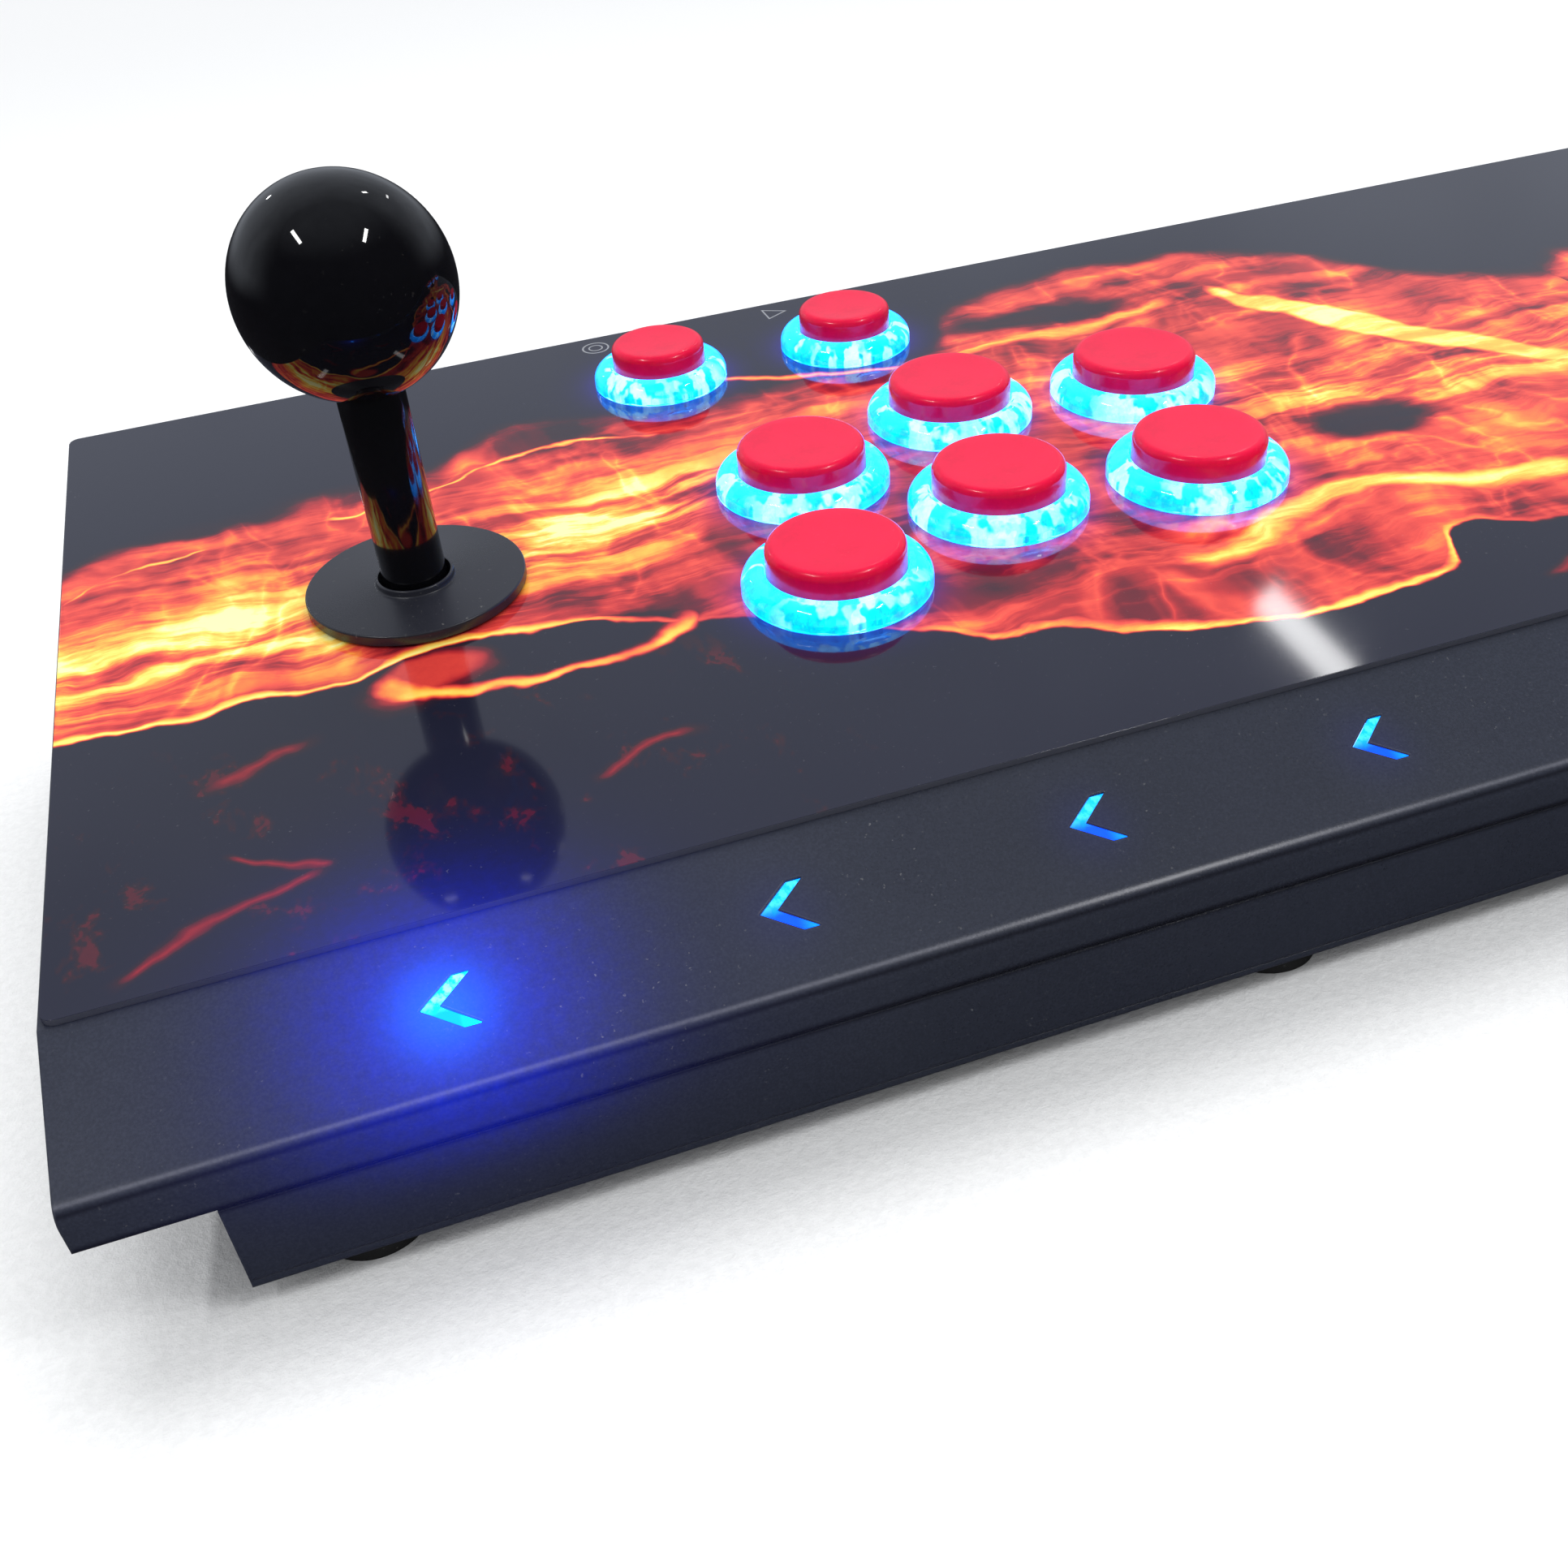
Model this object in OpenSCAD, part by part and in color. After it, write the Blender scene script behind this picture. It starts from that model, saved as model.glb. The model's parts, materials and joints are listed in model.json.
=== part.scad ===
// Two-player arcade control console: a folded steel case with a raised deck, a lit
// front slope, two ball-top sticks and sixteen push buttons.
// +Z is up, +X is the players' right and +Y runs away from the players. The origin is
// on the table, under the middle of the console.

/* [Console] */
// Overall width
console_w = 644; // [600:2:700]
// Depth of the printed deck, from its front fold to the back edge
deck_d = 185; // [182:1:200]
// Rise of the deck towards the back, in degrees
deck_tilt = 8; // [7:0.5:9]
// Height of the case's front, from the underside to the deck's fold, square to the deck
front_h = 31.1; // [30:0.1:34]
// Thickness of the steel sheet
sheet = 1.2; // [1:0.1:1.5]
// Thickness of the printed cover over the deck
cover_t = 1; // [0.6:0.1:1.2]
// How far the upper shell overhangs the base at each end
end_overhang = 17; // [15:0.5:20]

/* [Lit slope] */
// Distance from the deck's fold to the front face
slope_run = 24.5; // [23:0.5:27]
// Fall of the slope below the deck, in degrees
slope_fall = 17.5; // [16:0.5:19]
// Outer radius of the bend between the slope and the front face
bend_r = 3; // [2.5:0.5:4]
// Depth of the shell's lips below the deck surface
lip_drop = 15.3; // [15:0.1:16]
// Distance between chevrons
chevron_pitch = 46; // [40:1:46]
// Length of a chevron along the console
chevron_w = 7.4; // [6:0.2:9]
// Height of a chevron up the slope
chevron_h = 8; // [7:0.5:9]
// Chevrons on each half
chevrons_per_side = 6; // [3:1:6]

/* [Sticks] */
// Ball radius
ball_r = 17.5; // [15:0.5:18]
// Height of the ball's centre above the deck
ball_z = 54.2; // [50:0.1:60]
// Radius of the black sleeve
sleeve_r = 5.6; // [5.4:0.1:5.8]
// Radius of the dust washer
washer_r = 19.2; // [18:0.2:20]
// Thickness of the dust washer
washer_t = 2; // [1.6:0.1:2.2]
// Depth of the pivot below the deck
pivot_depth = 13.2; // [13:0.1:13.4]

/* [Buttons] */
// Radius of an action button's rim
action_rim_r = 16.5; // [16:0.1:17]
// Radius of a small button's rim
small_rim_r = 14.1; // [13.8:0.1:14.4]
// Height of a plunger's face above the deck
plunger_top = 8.8; // [8:0.1:9.5]
// Travel of a plunger
plunger_travel = 3; // [2:0.1:3]

/* [Feet] */
// Radius of a rubber foot
foot_r = 7.5; // [7:0.1:8]
// Height of a rubber foot
foot_h = 4; // [3.5:0.1:5]

/* [Hidden] */

$fn = 64;
gap = 0.05;                       // between faces that rest on each other
case_gap = 0.3;                   // between formed sheets

// Controls, measured on the deck from the left end and from the fold
player_pitch = console_w / 2;
stick_at = [61.5, 87.5];
button_at = [[136, 94.5], [172.5, 109], [210.5, 103.5], [129, 57], [165.5, 71], [203, 65.5],
             [124.5, 154.5], [167, 154]];
coin = 6;
start = 7;
left = 0;
right = 1;

// Heights below the deck's surface
steel_top = -cover_t;
steel_under = -cover_t - sheet;

// The case in side view
case_bottom = foot_h;
floor_in = foot_h + sheet;
fold_z = foot_h + slope_run * sin(deck_tilt) + front_h * cos(deck_tilt);
base_half = console_w / 2 - end_overhang;

// Depth, from the fold, of the foremost point of the bend and of the rearmost port, so
// that the origin lies midway between them
bend_reach = bend_r * tan((90 - slope_fall) / 2);
bend_corner = -cover_t - slope_run * tan(slope_fall);
front_reach = (bend_r - slope_run) * cos(deck_tilt) - (bend_corner - bend_reach) * sin(deck_tilt) - bend_r;
wall_reach = (deck_d - sheet - 0.4) * cos(deck_tilt) - (steel_under - 0.4) * sin(deck_tilt);
port_reach = 6;
fold_y = -(front_reach + wall_reach + port_reach) / 2;

function world_y(y, z) = fold_y + y * cos(deck_tilt) - z * sin(deck_tilt);
function world_z(y, z) = fold_z + y * sin(deck_tilt) + z * cos(deck_tilt);
// Height, square to the deck, at which the line at distance y behind the fold meets a level
function level_at(y, level) = (level - fold_z - y * sin(deck_tilt)) / cos(deck_tilt);

wall_back = world_y(deck_d - sheet - 0.4, steel_under - 0.4);
wall_top = world_z(deck_d - sheet - 0.4, steel_under - 0.4);
base_front_y = world_y(-slope_run, level_at(-slope_run, floor_in));
plate_front_y = world_y(-slope_run, level_at(-slope_run, case_bottom));
flange_w = 14;

// Buttons
action_r = 12.1;
small_r = 9.9;
plunger_slack = 0.25;
barrel_wall = 1.45;
barrel_len = 22;
nut_h = 6;
holder_h = 7.6;
holder_top = -barrel_len - gap;
switch_top = holder_top - holder_h - gap;
switch_l = 20;
switch_w = 10;
switch_t = 6.4;
leg_w = 3;
leg_t = 1.4;

// Sticks, as heights below the deck's surface
plate_t = 1.6;
slider_top = steel_under - 0.3;
slider_t = 0.9;
mount_top = slider_top - slider_t - 0.3;
washer_gap = 0.3;
housing_top = mount_top - plate_t - gap;
housing_half = 18;
cavity_r = 13.4;
cavity_top = housing_top - 2;
housing_bottom = -pivot_depth - 5.8;
ring_r = 11.2;
ring_in_r = 7.8;
ring_h = 6.4;
pin_r = 1.8;
pin_slack = 0.05;
hub_r = 6.2;
shaft_r = 4.5;
spring_top = -19.9;
spring_len = 5.2;
actuator_top = -25.4;
actuator_h = 6.4;
actuator_r = 6.2;
stick_switch_face = 9.2;
gate_top = actuator_top - actuator_h - 0.4;
gate_t = 2.4;
gate_half = 6.9;
post = 5;

// Rear panel, in plain console coordinates
board = [-92, 22];
board_z = 12;
board_t = 1.6;
board_depth = 100;
board_back = wall_back - sheet - 1;
socket_z = board_z + board_t + gap;
socket_out = 1;
hdmi = [-82, 15, 6];              // centre, width and height
vga = [-54, 31, 12.5];
usb = [[-17, 14.5, 7.2], [1, 14.5, 7.2]];
audio = [-32, 8, 8];
power = [15, 9.5, 11];
rocker = [62, 19.4, 13.2];
rocker_z = 24;
rocker_rest = 12;
paddle_slack = 0.35;

foot_x = [-289, -151, 151, 289];
foot_y = [world_y(-22.8, -front_h - 4) + foot_r, wall_back - 12];
plate_screw_x = [-220, -75, 75, 220];
plate_screw_y = [base_front_y + 8, wall_back - 7];
side_screw_y = [20, 90, 165];
standoff_x = [board[0] + 5, board[1] - 5];
standoff_y = [board_back - board_depth + 5, board_back - 24];

function arc(cx, cy, r, a0, a1, n) =
  [for (i = [0 : n]) [cx + r * cos(a0 + (a1 - a0) * i / n), cy + r * sin(a0 + (a1 - a0) * i / n)]];

// Places its children on the deck: X along it, Y from the fold to the back, Z square to it
module deck() {
  translate([0, fold_y, fold_z]) rotate([deck_tilt, 0, 0]) children();
}

// Places its children on the steel slope, with Y running up to the fold
module slope() {
  deck() translate([0, 0, steel_top]) rotate([slope_fall, 0, 0]) children();
}

// Extrudes a side view over a width
module across(w) {
  rotate([90, 0, 90]) linear_extrude(w, center = true) children();
}

function on_deck(side, at) = [at[0] - console_w / 2 + side * player_pitch, at[1], 0];

module at_stick(side) {
  deck() translate(on_deck(side, stick_at)) children();
}

module at_button(side, i) {
  deck() translate(on_deck(side, button_at[i])) children();
}

// ---- Case ----

// The upper shell's side view, drawn in by d
function shell_view(d, low) =
  let (r = bend_r - d,
       face = -slope_run + d,
       corner = steel_top - d / cos(slope_fall) + face * tan(slope_fall),
       reach = r * tan((90 - slope_fall) / 2))
  concat(
    [[deck_d - d, low], [deck_d - d, steel_top - d],
     [d * (1 / cos(slope_fall) - 1) / tan(slope_fall), steel_top - d]],
    arc(face + r, corner - reach, r, 90 + slope_fall, 180, 8),
    [[face, low]]);

module chevron() {
  stroke = 2.4;
  h = chevron_h / 2;
  polygon([[0, 0], [chevron_w - stroke, h], [chevron_w, h], [stroke + 0.2, 0],
           [chevron_w, -h], [chevron_w - stroke, -h]]);
}

chevron_row_y = -12.2;

// Where the chevrons start on each half, pointing away from the middle
module each_chevron() {
  for (i = [1 : chevrons_per_side])
    for (s = [-1, 1])
      translate([s * (console_w / 2 - i * chevron_pitch), chevron_row_y, 0])
        mirror([s > 0 ? 1 : 0, 0, 0]) children();
}

module upper_shell() color([0.07, 0.07, 0.08]) difference() {
  union() {
    difference() {
      deck() across(console_w) polygon(shell_view(0, -lip_drop));
      deck() across(console_w - 2 * sheet) polygon(shell_view(sheet, -lip_drop - 5));
    }
    for (s = [-1, 1])
      deck() translate([s * (console_w / 2 - sheet - 6), (deck_d - slope_run) / 2, -lip_drop + sheet / 2])
        cube([14, deck_d + slope_run - 4 * sheet, sheet], center = true);
  }
  slope() each_chevron() translate([0, 0, -3]) linear_extrude(6) chevron();
  slope() translate([0, chevron_row_y, -3]) linear_extrude(6)
    difference() {
      rotate(45) square(7, center = true);
      rotate(45) square(3.4, center = true);
      square([1.4, 12], center = true);
    }
  for (side = [left, right]) {
    at_stick(side) translate([0, 0, -6]) cylinder(r = 12, h = 8);
    for (i = [0 : 7]) at_button(side, i) translate([0, 0, -6]) cylinder(r = hole_r(i), h = 8);
  }
  for (s = [-1, 1], y = side_screw_y)
    deck() translate([s * (console_w / 2 - 9), y, -lip_drop - 1]) cylinder(r = 1.7, h = 4, $fn = 24);
}

// Printed cover laid over the steel deck
module deck_cover() color([0.55, 0.16, 0.05]) difference() {
  deck() translate([0, 0, steel_top + gap / 2]) linear_extrude(cover_t - gap / 2)
    rounded_rect(console_w - 1, deck_d - 0.6, 2);
  for (side = [left, right]) {
    at_stick(side) translate([0, 0, -3]) cylinder(r = 11.6, h = 6);
    for (i = [0 : 7]) at_button(side, i) translate([0, 0, -3]) cylinder(r = hole_r(i), h = 6);
  }
}

module rounded_rect(w, d, r) {
  union() {
    translate([-w / 2 + r, 0.1]) square([w - 2 * r, d]);
    translate([-w / 2, 0.1 + r]) square([w, d - 2 * r]);
    for (x = [-w / 2 + r, w / 2 - r], y = [0.1 + r, 0.1 + d - r]) translate([x, y]) circle(r = r, $fn = 32);
  }
}

// A port's hole in the rear wall
module wall_hole(x, z, w, h) {
  translate([x - w / 2 - 0.3, wall_back - 6, z - 0.3]) cube([w + 0.6, 12, h + 0.6]);
}

// Walls of the base: a joggled front, a plain back and two sides, with flanges
module base_frame() color([0.08, 0.08, 0.085]) difference() {
  union() {
    front_wall();
    translate([-base_half, wall_back - sheet, floor_in]) cube([2 * base_half, sheet, wall_top - floor_in]);
    for (s = [-1, 1]) {
      translate([s * (base_half - sheet / 2), 0, 0]) across(sheet) polygon([
        [base_front_y, floor_in], [wall_back, floor_in], [wall_back, wall_top],
        [world_y(2, steel_under - 4), world_z(2, steel_under - 4)],
        [world_y(-16, -11), world_z(-16, -11)],
        [world_y(-slope_run + sheet + case_gap, -11), world_z(-slope_run + sheet + case_gap, -11)],
        [world_y(-slope_run + sheet + case_gap, -lip_drop - case_gap),
         world_z(-slope_run + sheet + case_gap, -lip_drop - case_gap)],
        [world_y(-slope_run, -lip_drop - case_gap), world_z(-slope_run, -lip_drop - case_gap)]]);
      deck() translate([s * (base_half + 6.5), (deck_d - slope_run) / 2 + 4, -lip_drop + 1.5 * sheet + 0.2])
        cube([15, deck_d + slope_run - 18, sheet], center = true);
    }
    for (y = [base_front_y + sheet / 2, wall_back - flange_w])
      translate([-base_half, y, floor_in]) cube([2 * base_half, flange_w - sheet / 2, sheet]);
    for (s = [-1, 1])
      translate([s > 0 ? base_half - flange_w : -base_half, base_front_y + 1, floor_in])
        cube([flange_w, wall_back - base_front_y - 2, sheet]);
  }
  wall_hole(hdmi[0], socket_z, hdmi[1], hdmi[2]);
  wall_hole(vga[0], socket_z, vga[1], vga[2]);
  for (u = usb) wall_hole(u[0], socket_z, u[1], u[2]);
  wall_hole(audio[0], socket_z, audio[1], audio[2]);
  wall_hole(power[0], socket_z, power[1], power[2]);
  wall_hole(rocker[0], rocker_z - rocker[2] / 2, rocker[1], rocker[2]);
  for (x = plate_screw_x, y = plate_screw_y) translate([x, y, 0]) cylinder(r = 1.6, h = 12, $fn = 24);
  for (s = [-1, 1], y = side_screw_y)
    deck() translate([s * (console_w / 2 - 9), y, -lip_drop - 1]) cylinder(r = 1.7, h = 6, $fn = 24);
  for (x = foot_x, y = foot_y) translate([x, y, floor_in - 1]) cylinder(r = 3, h = 4, $fn = 24);
}

module front_wall() {
  face = -slope_run;
  step = sheet + case_gap;
  top = -lip_drop - case_gap;
  across(2 * base_half) polygon([
    [base_front_y, floor_in],
    [world_y(face, top), world_z(face, top)],
    [world_y(face + step, top), world_z(face + step, top)],
    [world_y(face + step, -11), world_z(face + step, -11)],
    [world_y(face + step + sheet, -11), world_z(face + step + sheet, -11)],
    [world_y(face + step + sheet, top - sheet), world_z(face + step + sheet, top - sheet)],
    [world_y(face + sheet, top - sheet), world_z(face + sheet, top - sheet)],
    [world_y(face + sheet, level_at(face + sheet, floor_in)), floor_in]]);
}

module bottom_plate() color([0.09, 0.09, 0.095]) difference() {
  translate([-base_half, base_front_y + gap, case_bottom])
    cube([2 * base_half, wall_back - base_front_y - gap, sheet - gap]);
  for (x = plate_screw_x, y = plate_screw_y) translate([x, y, 0]) cylinder(r = 1.6, h = 12, $fn = 24);
  for (x = foot_x, y = foot_y) translate([x, y, 0]) cylinder(r = 1.6, h = 12, $fn = 24);
  for (x = standoff_x, y = standoff_y) translate([x, y, 0]) cylinder(r = 1.6, h = 12, $fn = 24);
  for (i = [0 : 11]) translate([-200 + i * 9, 20, 0]) slot_hole(3, 30);
}

module slot_hole(w, l) {
  translate([-w / 2, -l / 2, 0]) cube([w, l, 12]);
}

module rubber_feet() color([0.03, 0.03, 0.03])
  for (x = foot_x, y = foot_y) translate([x, y, 0]) difference() {
    cylinder(r = foot_r, h = foot_h - gap);
    translate([0, 0, -1]) cylinder(r = 3.4, h = 3.4, $fn = 32);
    cylinder(r = 1.6, h = foot_h + 1, $fn = 24);
  }

// ---- Fasteners ----

// Pan-head screw pointing up, its head's seat at z = 0
module pan_screw(r, head_r, head_h, length) {
  difference() {
    union() {
      translate([0, 0, -head_h]) cylinder(r = head_r, h = head_h, $fn = 32);
      translate([0, 0, -0.4]) cylinder(r = r, h = length + 0.4, $fn = 24);
    }
    for (a = [0, 90]) rotate(a) translate([-head_r * 0.6, -0.35, -head_h - 1]) cube([head_r * 1.2, 0.7, 1.9]);
  }
}

module m3_screws() color([0.75, 0.75, 0.78]) {
  for (x = plate_screw_x, y = plate_screw_y)
    translate([x, y, case_bottom - gap]) pan_screw(1.5, 2.8, 1.8, 6);
  for (x = foot_x, y = foot_y) translate([x, y, 2.4 - gap]) pan_screw(1.5, 2.8, 1.8, 6);
  for (x = standoff_x, y = standoff_y) {
    translate([x, y, case_bottom - gap]) pan_screw(1.5, 2.8, 1.8, 4.6);
    translate([x, y, board_z + board_t + gap]) mirror([0, 0, 1]) pan_screw(1.5, 2.8, 1.8, 4);
  }
}

module shell_screws() color([0.12, 0.12, 0.12])
  for (s = [-1, 1], y = side_screw_y)
    deck() translate([s * (console_w / 2 - 9), y, -lip_drop - gap]) pan_screw(1.6, 3, 1.9, 6.5);

module clinch_nuts() color([0.8, 0.8, 0.82])
  for (s = [-1, 1], y = side_screw_y)
    deck() translate([s * (console_w / 2 - 9), y, -lip_drop + 2 * sheet + 0.2 + gap]) difference() {
      cylinder(r = 3.2, h = 3, $fn = 6);
      translate([0, 0, -1]) cylinder(r = 1.65, h = 6, $fn = 24);
    }

// ---- Front light ----

diffuser_t = 2;
board_drop = 4.6;                 // from the steel's inner face to the light board
slope_under = -sheet - gap;

module light_diffuser() color([0.55, 0.85, 1, 0.7]) slope() {
  translate([-base_half + 5, chevron_row_y - 6.4, slope_under - diffuser_t])
    cube([2 * base_half - 10, 12.8, diffuser_t]);
  for (x = [-253, -115, 115, 253])
    translate([x - 3, chevron_row_y - 4, slope_under - board_drop + gap])
      cube([6, 8, board_drop - diffuser_t]);
}

module light_board() color([0.9, 0.9, 0.88]) slope()
  translate([-base_half + 5, chevron_row_y - 5, slope_under - board_drop - 1])
    cube([2 * base_half - 10, 10, 1]);

module lamp_leds() color([0.6, 0.85, 1]) {
  slope() each_chevron() for (y = [-2.4, 2.4])
    translate([2.2, y - 1.4, slope_under - board_drop + gap]) cube([3.5, 2.8, 1.9]);
  for (side = [left, right], i = [0 : 7])
    at_button(side, i) translate([0, 0, holder_top + gap]) {
      cylinder(r = 2.9, h = 1);
      translate([0, 0, 1]) cylinder(r = 2.5, h = 3.4, $fn = 32);
      translate([0, 0, 4.4]) intersection() {
        sphere(r = 2.5, $fn = 32);
        translate([-3, -3, 0]) cube(6);
      }
    }
}

// ---- Buttons ----

function is_small(i) = i >= coin;
function face_r(i) = is_small(i) ? small_r : action_r;
function bore_r(i) = face_r(i) + plunger_slack;
function barrel_r(i) = bore_r(i) + barrel_wall;
function hole_r(i) = barrel_r(i) + 0.2;
function rim_r(i) = is_small(i) ? small_rim_r : action_rim_r;

// Clear rim with its threaded barrel
module rim(i) {
  flange_edge = 1.5;
  crown = 4.5;
  out = rim_r(i);
  shoulder = bore_r(i) + 0.75;
  rotate_extrude() polygon(concat(
    [[bore_r(i), -barrel_len], [barrel_r(i), -barrel_len], [barrel_r(i), gap], [out - 0.3, gap], [out, 0.35]],
    [for (k = [0 : 6]) let (a = 90 * k / 6)
      [shoulder + (out - shoulder) * cos(a), flange_edge + (crown - flange_edge) * sin(a)]],
    [[bore_r(i), crown - 0.3]]));
}

module button_rims() color([0.55, 0.9, 1, 0.5])
  for (side = [left, right], i = [0 : 7]) at_button(side, i) rim(i);

module button_nuts() color([0.12, 0.12, 0.13])
  for (side = [left, right], i = [0 : 7])
    at_button(side, i) translate([0, 0, steel_under - nut_h - gap]) difference() {
      union() {
        cylinder(r = barrel_r(i) + 2.4, h = nut_h);
        for (a = [0 : 30 : 330]) rotate(a) translate([barrel_r(i) + 1.6, -1.2, 0]) cube([1.9, 2.4, nut_h - 1.5]);
      }
      translate([0, 0, -1]) cylinder(r = barrel_r(i) + gap, h = nut_h + 2);
    }

// Carries the lamp and closes the barrel
module switch_holders() color([0.92, 0.92, 0.9])
  for (side = [left, right], i = [0 : 7])
    at_button(side, i) translate([0, 0, holder_top - holder_h]) difference() {
      cylinder(r = barrel_r(i), h = holder_h);
      translate([-leg_w / 2 - 0.6, -face_r(i) - 0.2, -1]) cube([leg_w + 1.2, leg_t + 1.6, holder_h + 2]);
      for (s = [-1, 1]) translate([s * 5 - 1, 1, -1]) cube([2, 3, holder_h + 2]);
    }

// Snap switch lying flat, its nub at the origin and pointing up
module snap_switch() {
  translate([-switch_l / 2, -2.6, -switch_t]) cube([switch_l, switch_w, switch_t - 0.9]);
  translate([-1.6, -1.2, -0.9 - gap]) cube([3.2, 2.4, 0.7]);
  for (x = [-7, 0, 7]) translate([x - 1.4, switch_w - 2.6, -switch_t / 2]) cube([2.8, 3.4, 0.6]);
}

module microswitches() color([0.1, 0.1, 0.11]) {
  for (side = [left, right], i = [0 : 7])
    at_button(side, i) translate([0, -face_r(i) + leg_t / 2 + 0.6, switch_top]) snap_switch();
  for (side = [left, right], a = [0 : 90 : 270]) at_stick(side) rotate(a) {
    translate([stick_switch_face + 1, -switch_l / 2, actuator_top - actuator_h]) cube([switch_w, switch_l, switch_t]);
    translate([stick_switch_face, -1.5, actuator_top - actuator_h / 2 - 1]) cube([1 + gap, 3, 2]);
    for (y = [-7, 0, 7])
      translate([stick_switch_face + 1 + switch_w, y - 1.2, actuator_top - actuator_h / 2]) cube([3, 2.4, 0.6]);
  }
}

// Cap, skirt and the leg that works the switch
module plunger(i) {
  edge = 1.6;
  r = face_r(i);
  skirt = -10;
  rotate_extrude() polygon(concat(
    [[r - 1.6, skirt], [r, skirt]],
    arc(r - edge, plunger_top - edge, edge, 0, 90, 6),
    [[0, plunger_top], [0, plunger_top - 2.6], [r - 1.6, plunger_top - 2.6]]));
  translate([-leg_w / 2, -r + 0.05, -barrel_len - 4.8]) cube([leg_w, leg_t, barrel_len + 4.8 + skirt + 2]);
}

module plunger_at(side, i) color([0.85, 0.08, 0.1]) at_button(side, i) plunger(i);

// ---- Sticks ----

module ball(side) color([0.02, 0.02, 0.02]) at_stick(side) translate([0, 0, ball_z]) difference() {
  sphere(r = ball_r, $fn = 96);
  translate([0, 0, -ball_r - 1]) cylinder(r = 3.05, h = ball_r + 9, $fn = 32);
  translate([0, 0, -ball_r - 1]) cylinder(r = sleeve_r + 0.1, h = 2.4);
}

sleeve_top = ball_z - ball_r + 1.3;

module sleeve(side) color([0.04, 0.04, 0.05]) at_stick(side) difference() {
  translate([0, 0, -8]) cylinder(r = sleeve_r, h = sleeve_top + 8);
  translate([0, 0, -9]) cylinder(r = shaft_r + gap, h = sleeve_top + 10);
}

module shaft(side) color([0.7, 0.7, 0.72]) at_stick(side) {
  difference() {
    union() {
      translate([0, 0, -31]) cylinder(r = shaft_r, h = sleeve_top + 31);
      translate([0, 0, sleeve_top - 1]) cylinder(r = 3, h = 15, $fn = 32);
      translate([0, 0, -36.5]) cylinder(r = 3.5, h = 6.5);
      translate([0, 0, -pivot_depth]) sphere(r = hub_r);
      translate([0, 0, -pivot_depth]) rotate([90, 0, 0]) cylinder(r = pin_r, h = 2 * ring_r - 1, center = true);
    }
    translate([0, 0, -35.4]) difference() {
      cylinder(r = 5, h = 0.9);
      translate([0, 0, -1]) cylinder(r = 2.6, h = 3);
    }
  }
}

// Inner ring of the stick's two-axis pivot
module pivot_ring(side) color([0.85, 0.85, 0.8]) at_stick(side) translate([0, 0, -pivot_depth]) difference() {
  union() {
    cylinder(r = ring_r, h = ring_h, center = true);
    rotate([0, 90, 0]) cylinder(r = pin_r, h = 2 * (housing_half - 1), center = true);
  }
  cylinder(r = ring_in_r, h = ring_h + 2, center = true);
  rotate([90, 0, 0]) cylinder(r = pin_r + pin_slack, h = 4 * ring_r, center = true);
}

module actuator(side) color([0.15, 0.15, 0.16]) at_stick(side) translate([0, 0, actuator_top - actuator_h]) difference() {
  cylinder(r = actuator_r, h = actuator_h);
  translate([0, 0, -1]) cylinder(r = shaft_r + gap, h = actuator_h + 2);
}

// A closed tube of radius r along a list of points that lie round the Z axis
module coil(mean_r, wire_r, turns, height) {
  sides = 8;
  steps = 20 * turns;
  function ring(k) = [for (j = [0 : sides - 1]) let (
      a = 360 * turns * k / steps, b = 360 * j / sides, rr = mean_r + wire_r * cos(b))
    [rr * cos(a), rr * sin(a), wire_r + (height - 2 * wire_r) * k / steps + wire_r * sin(b)]];
  pts = [for (k = [0 : steps]) for (p = ring(k)) p];
  polyhedron(pts, concat(
    [[for (j = [0 : sides - 1]) j]],
    [for (k = [0 : steps - 1]) for (j = [0 : sides - 1])
      [k * sides + j, (k + 1) * sides + j, (k + 1) * sides + (j + 1) % sides, k * sides + (j + 1) % sides]],
    [[for (j = [sides - 1 : -1 : 0]) steps * sides + j]]));
}

module spring(side) color([0.8, 0.8, 0.82]) at_stick(side)
  translate([0, 0, spring_top - spring_len]) coil(5.9, 0.5, 3, spring_len);

// Washer that slides on the deck, with a low hub round the sleeve
module dust_washer(side) color([0.05, 0.05, 0.055]) at_stick(side) translate([0, 0, washer_gap]) {
  hole = sleeve_r + 0.75;
  hub = hole + 0.75;
  hub_top = washer_t + 2.3;
  rotate_extrude($fn = 96) polygon([
    [hole, 0], [washer_r, 0], [washer_r, washer_t - 0.3], [washer_r - 0.3, washer_t],
    [hub, washer_t], [hub, hub_top - 0.5], [hub - 0.3, hub_top], [hole, hub_top]]);
}

// Slotted disc under the deck that the washer follows sideways
module dust_slider(side) color([0.06, 0.06, 0.065]) at_stick(side)
  translate([0, 0, slider_top - slider_t]) difference() {
    cylinder(r = 17, h = slider_t);
    translate([-6.9, -9.6, -1]) cube([13.8, 19.2, slider_t + 2]);
  }

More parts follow.
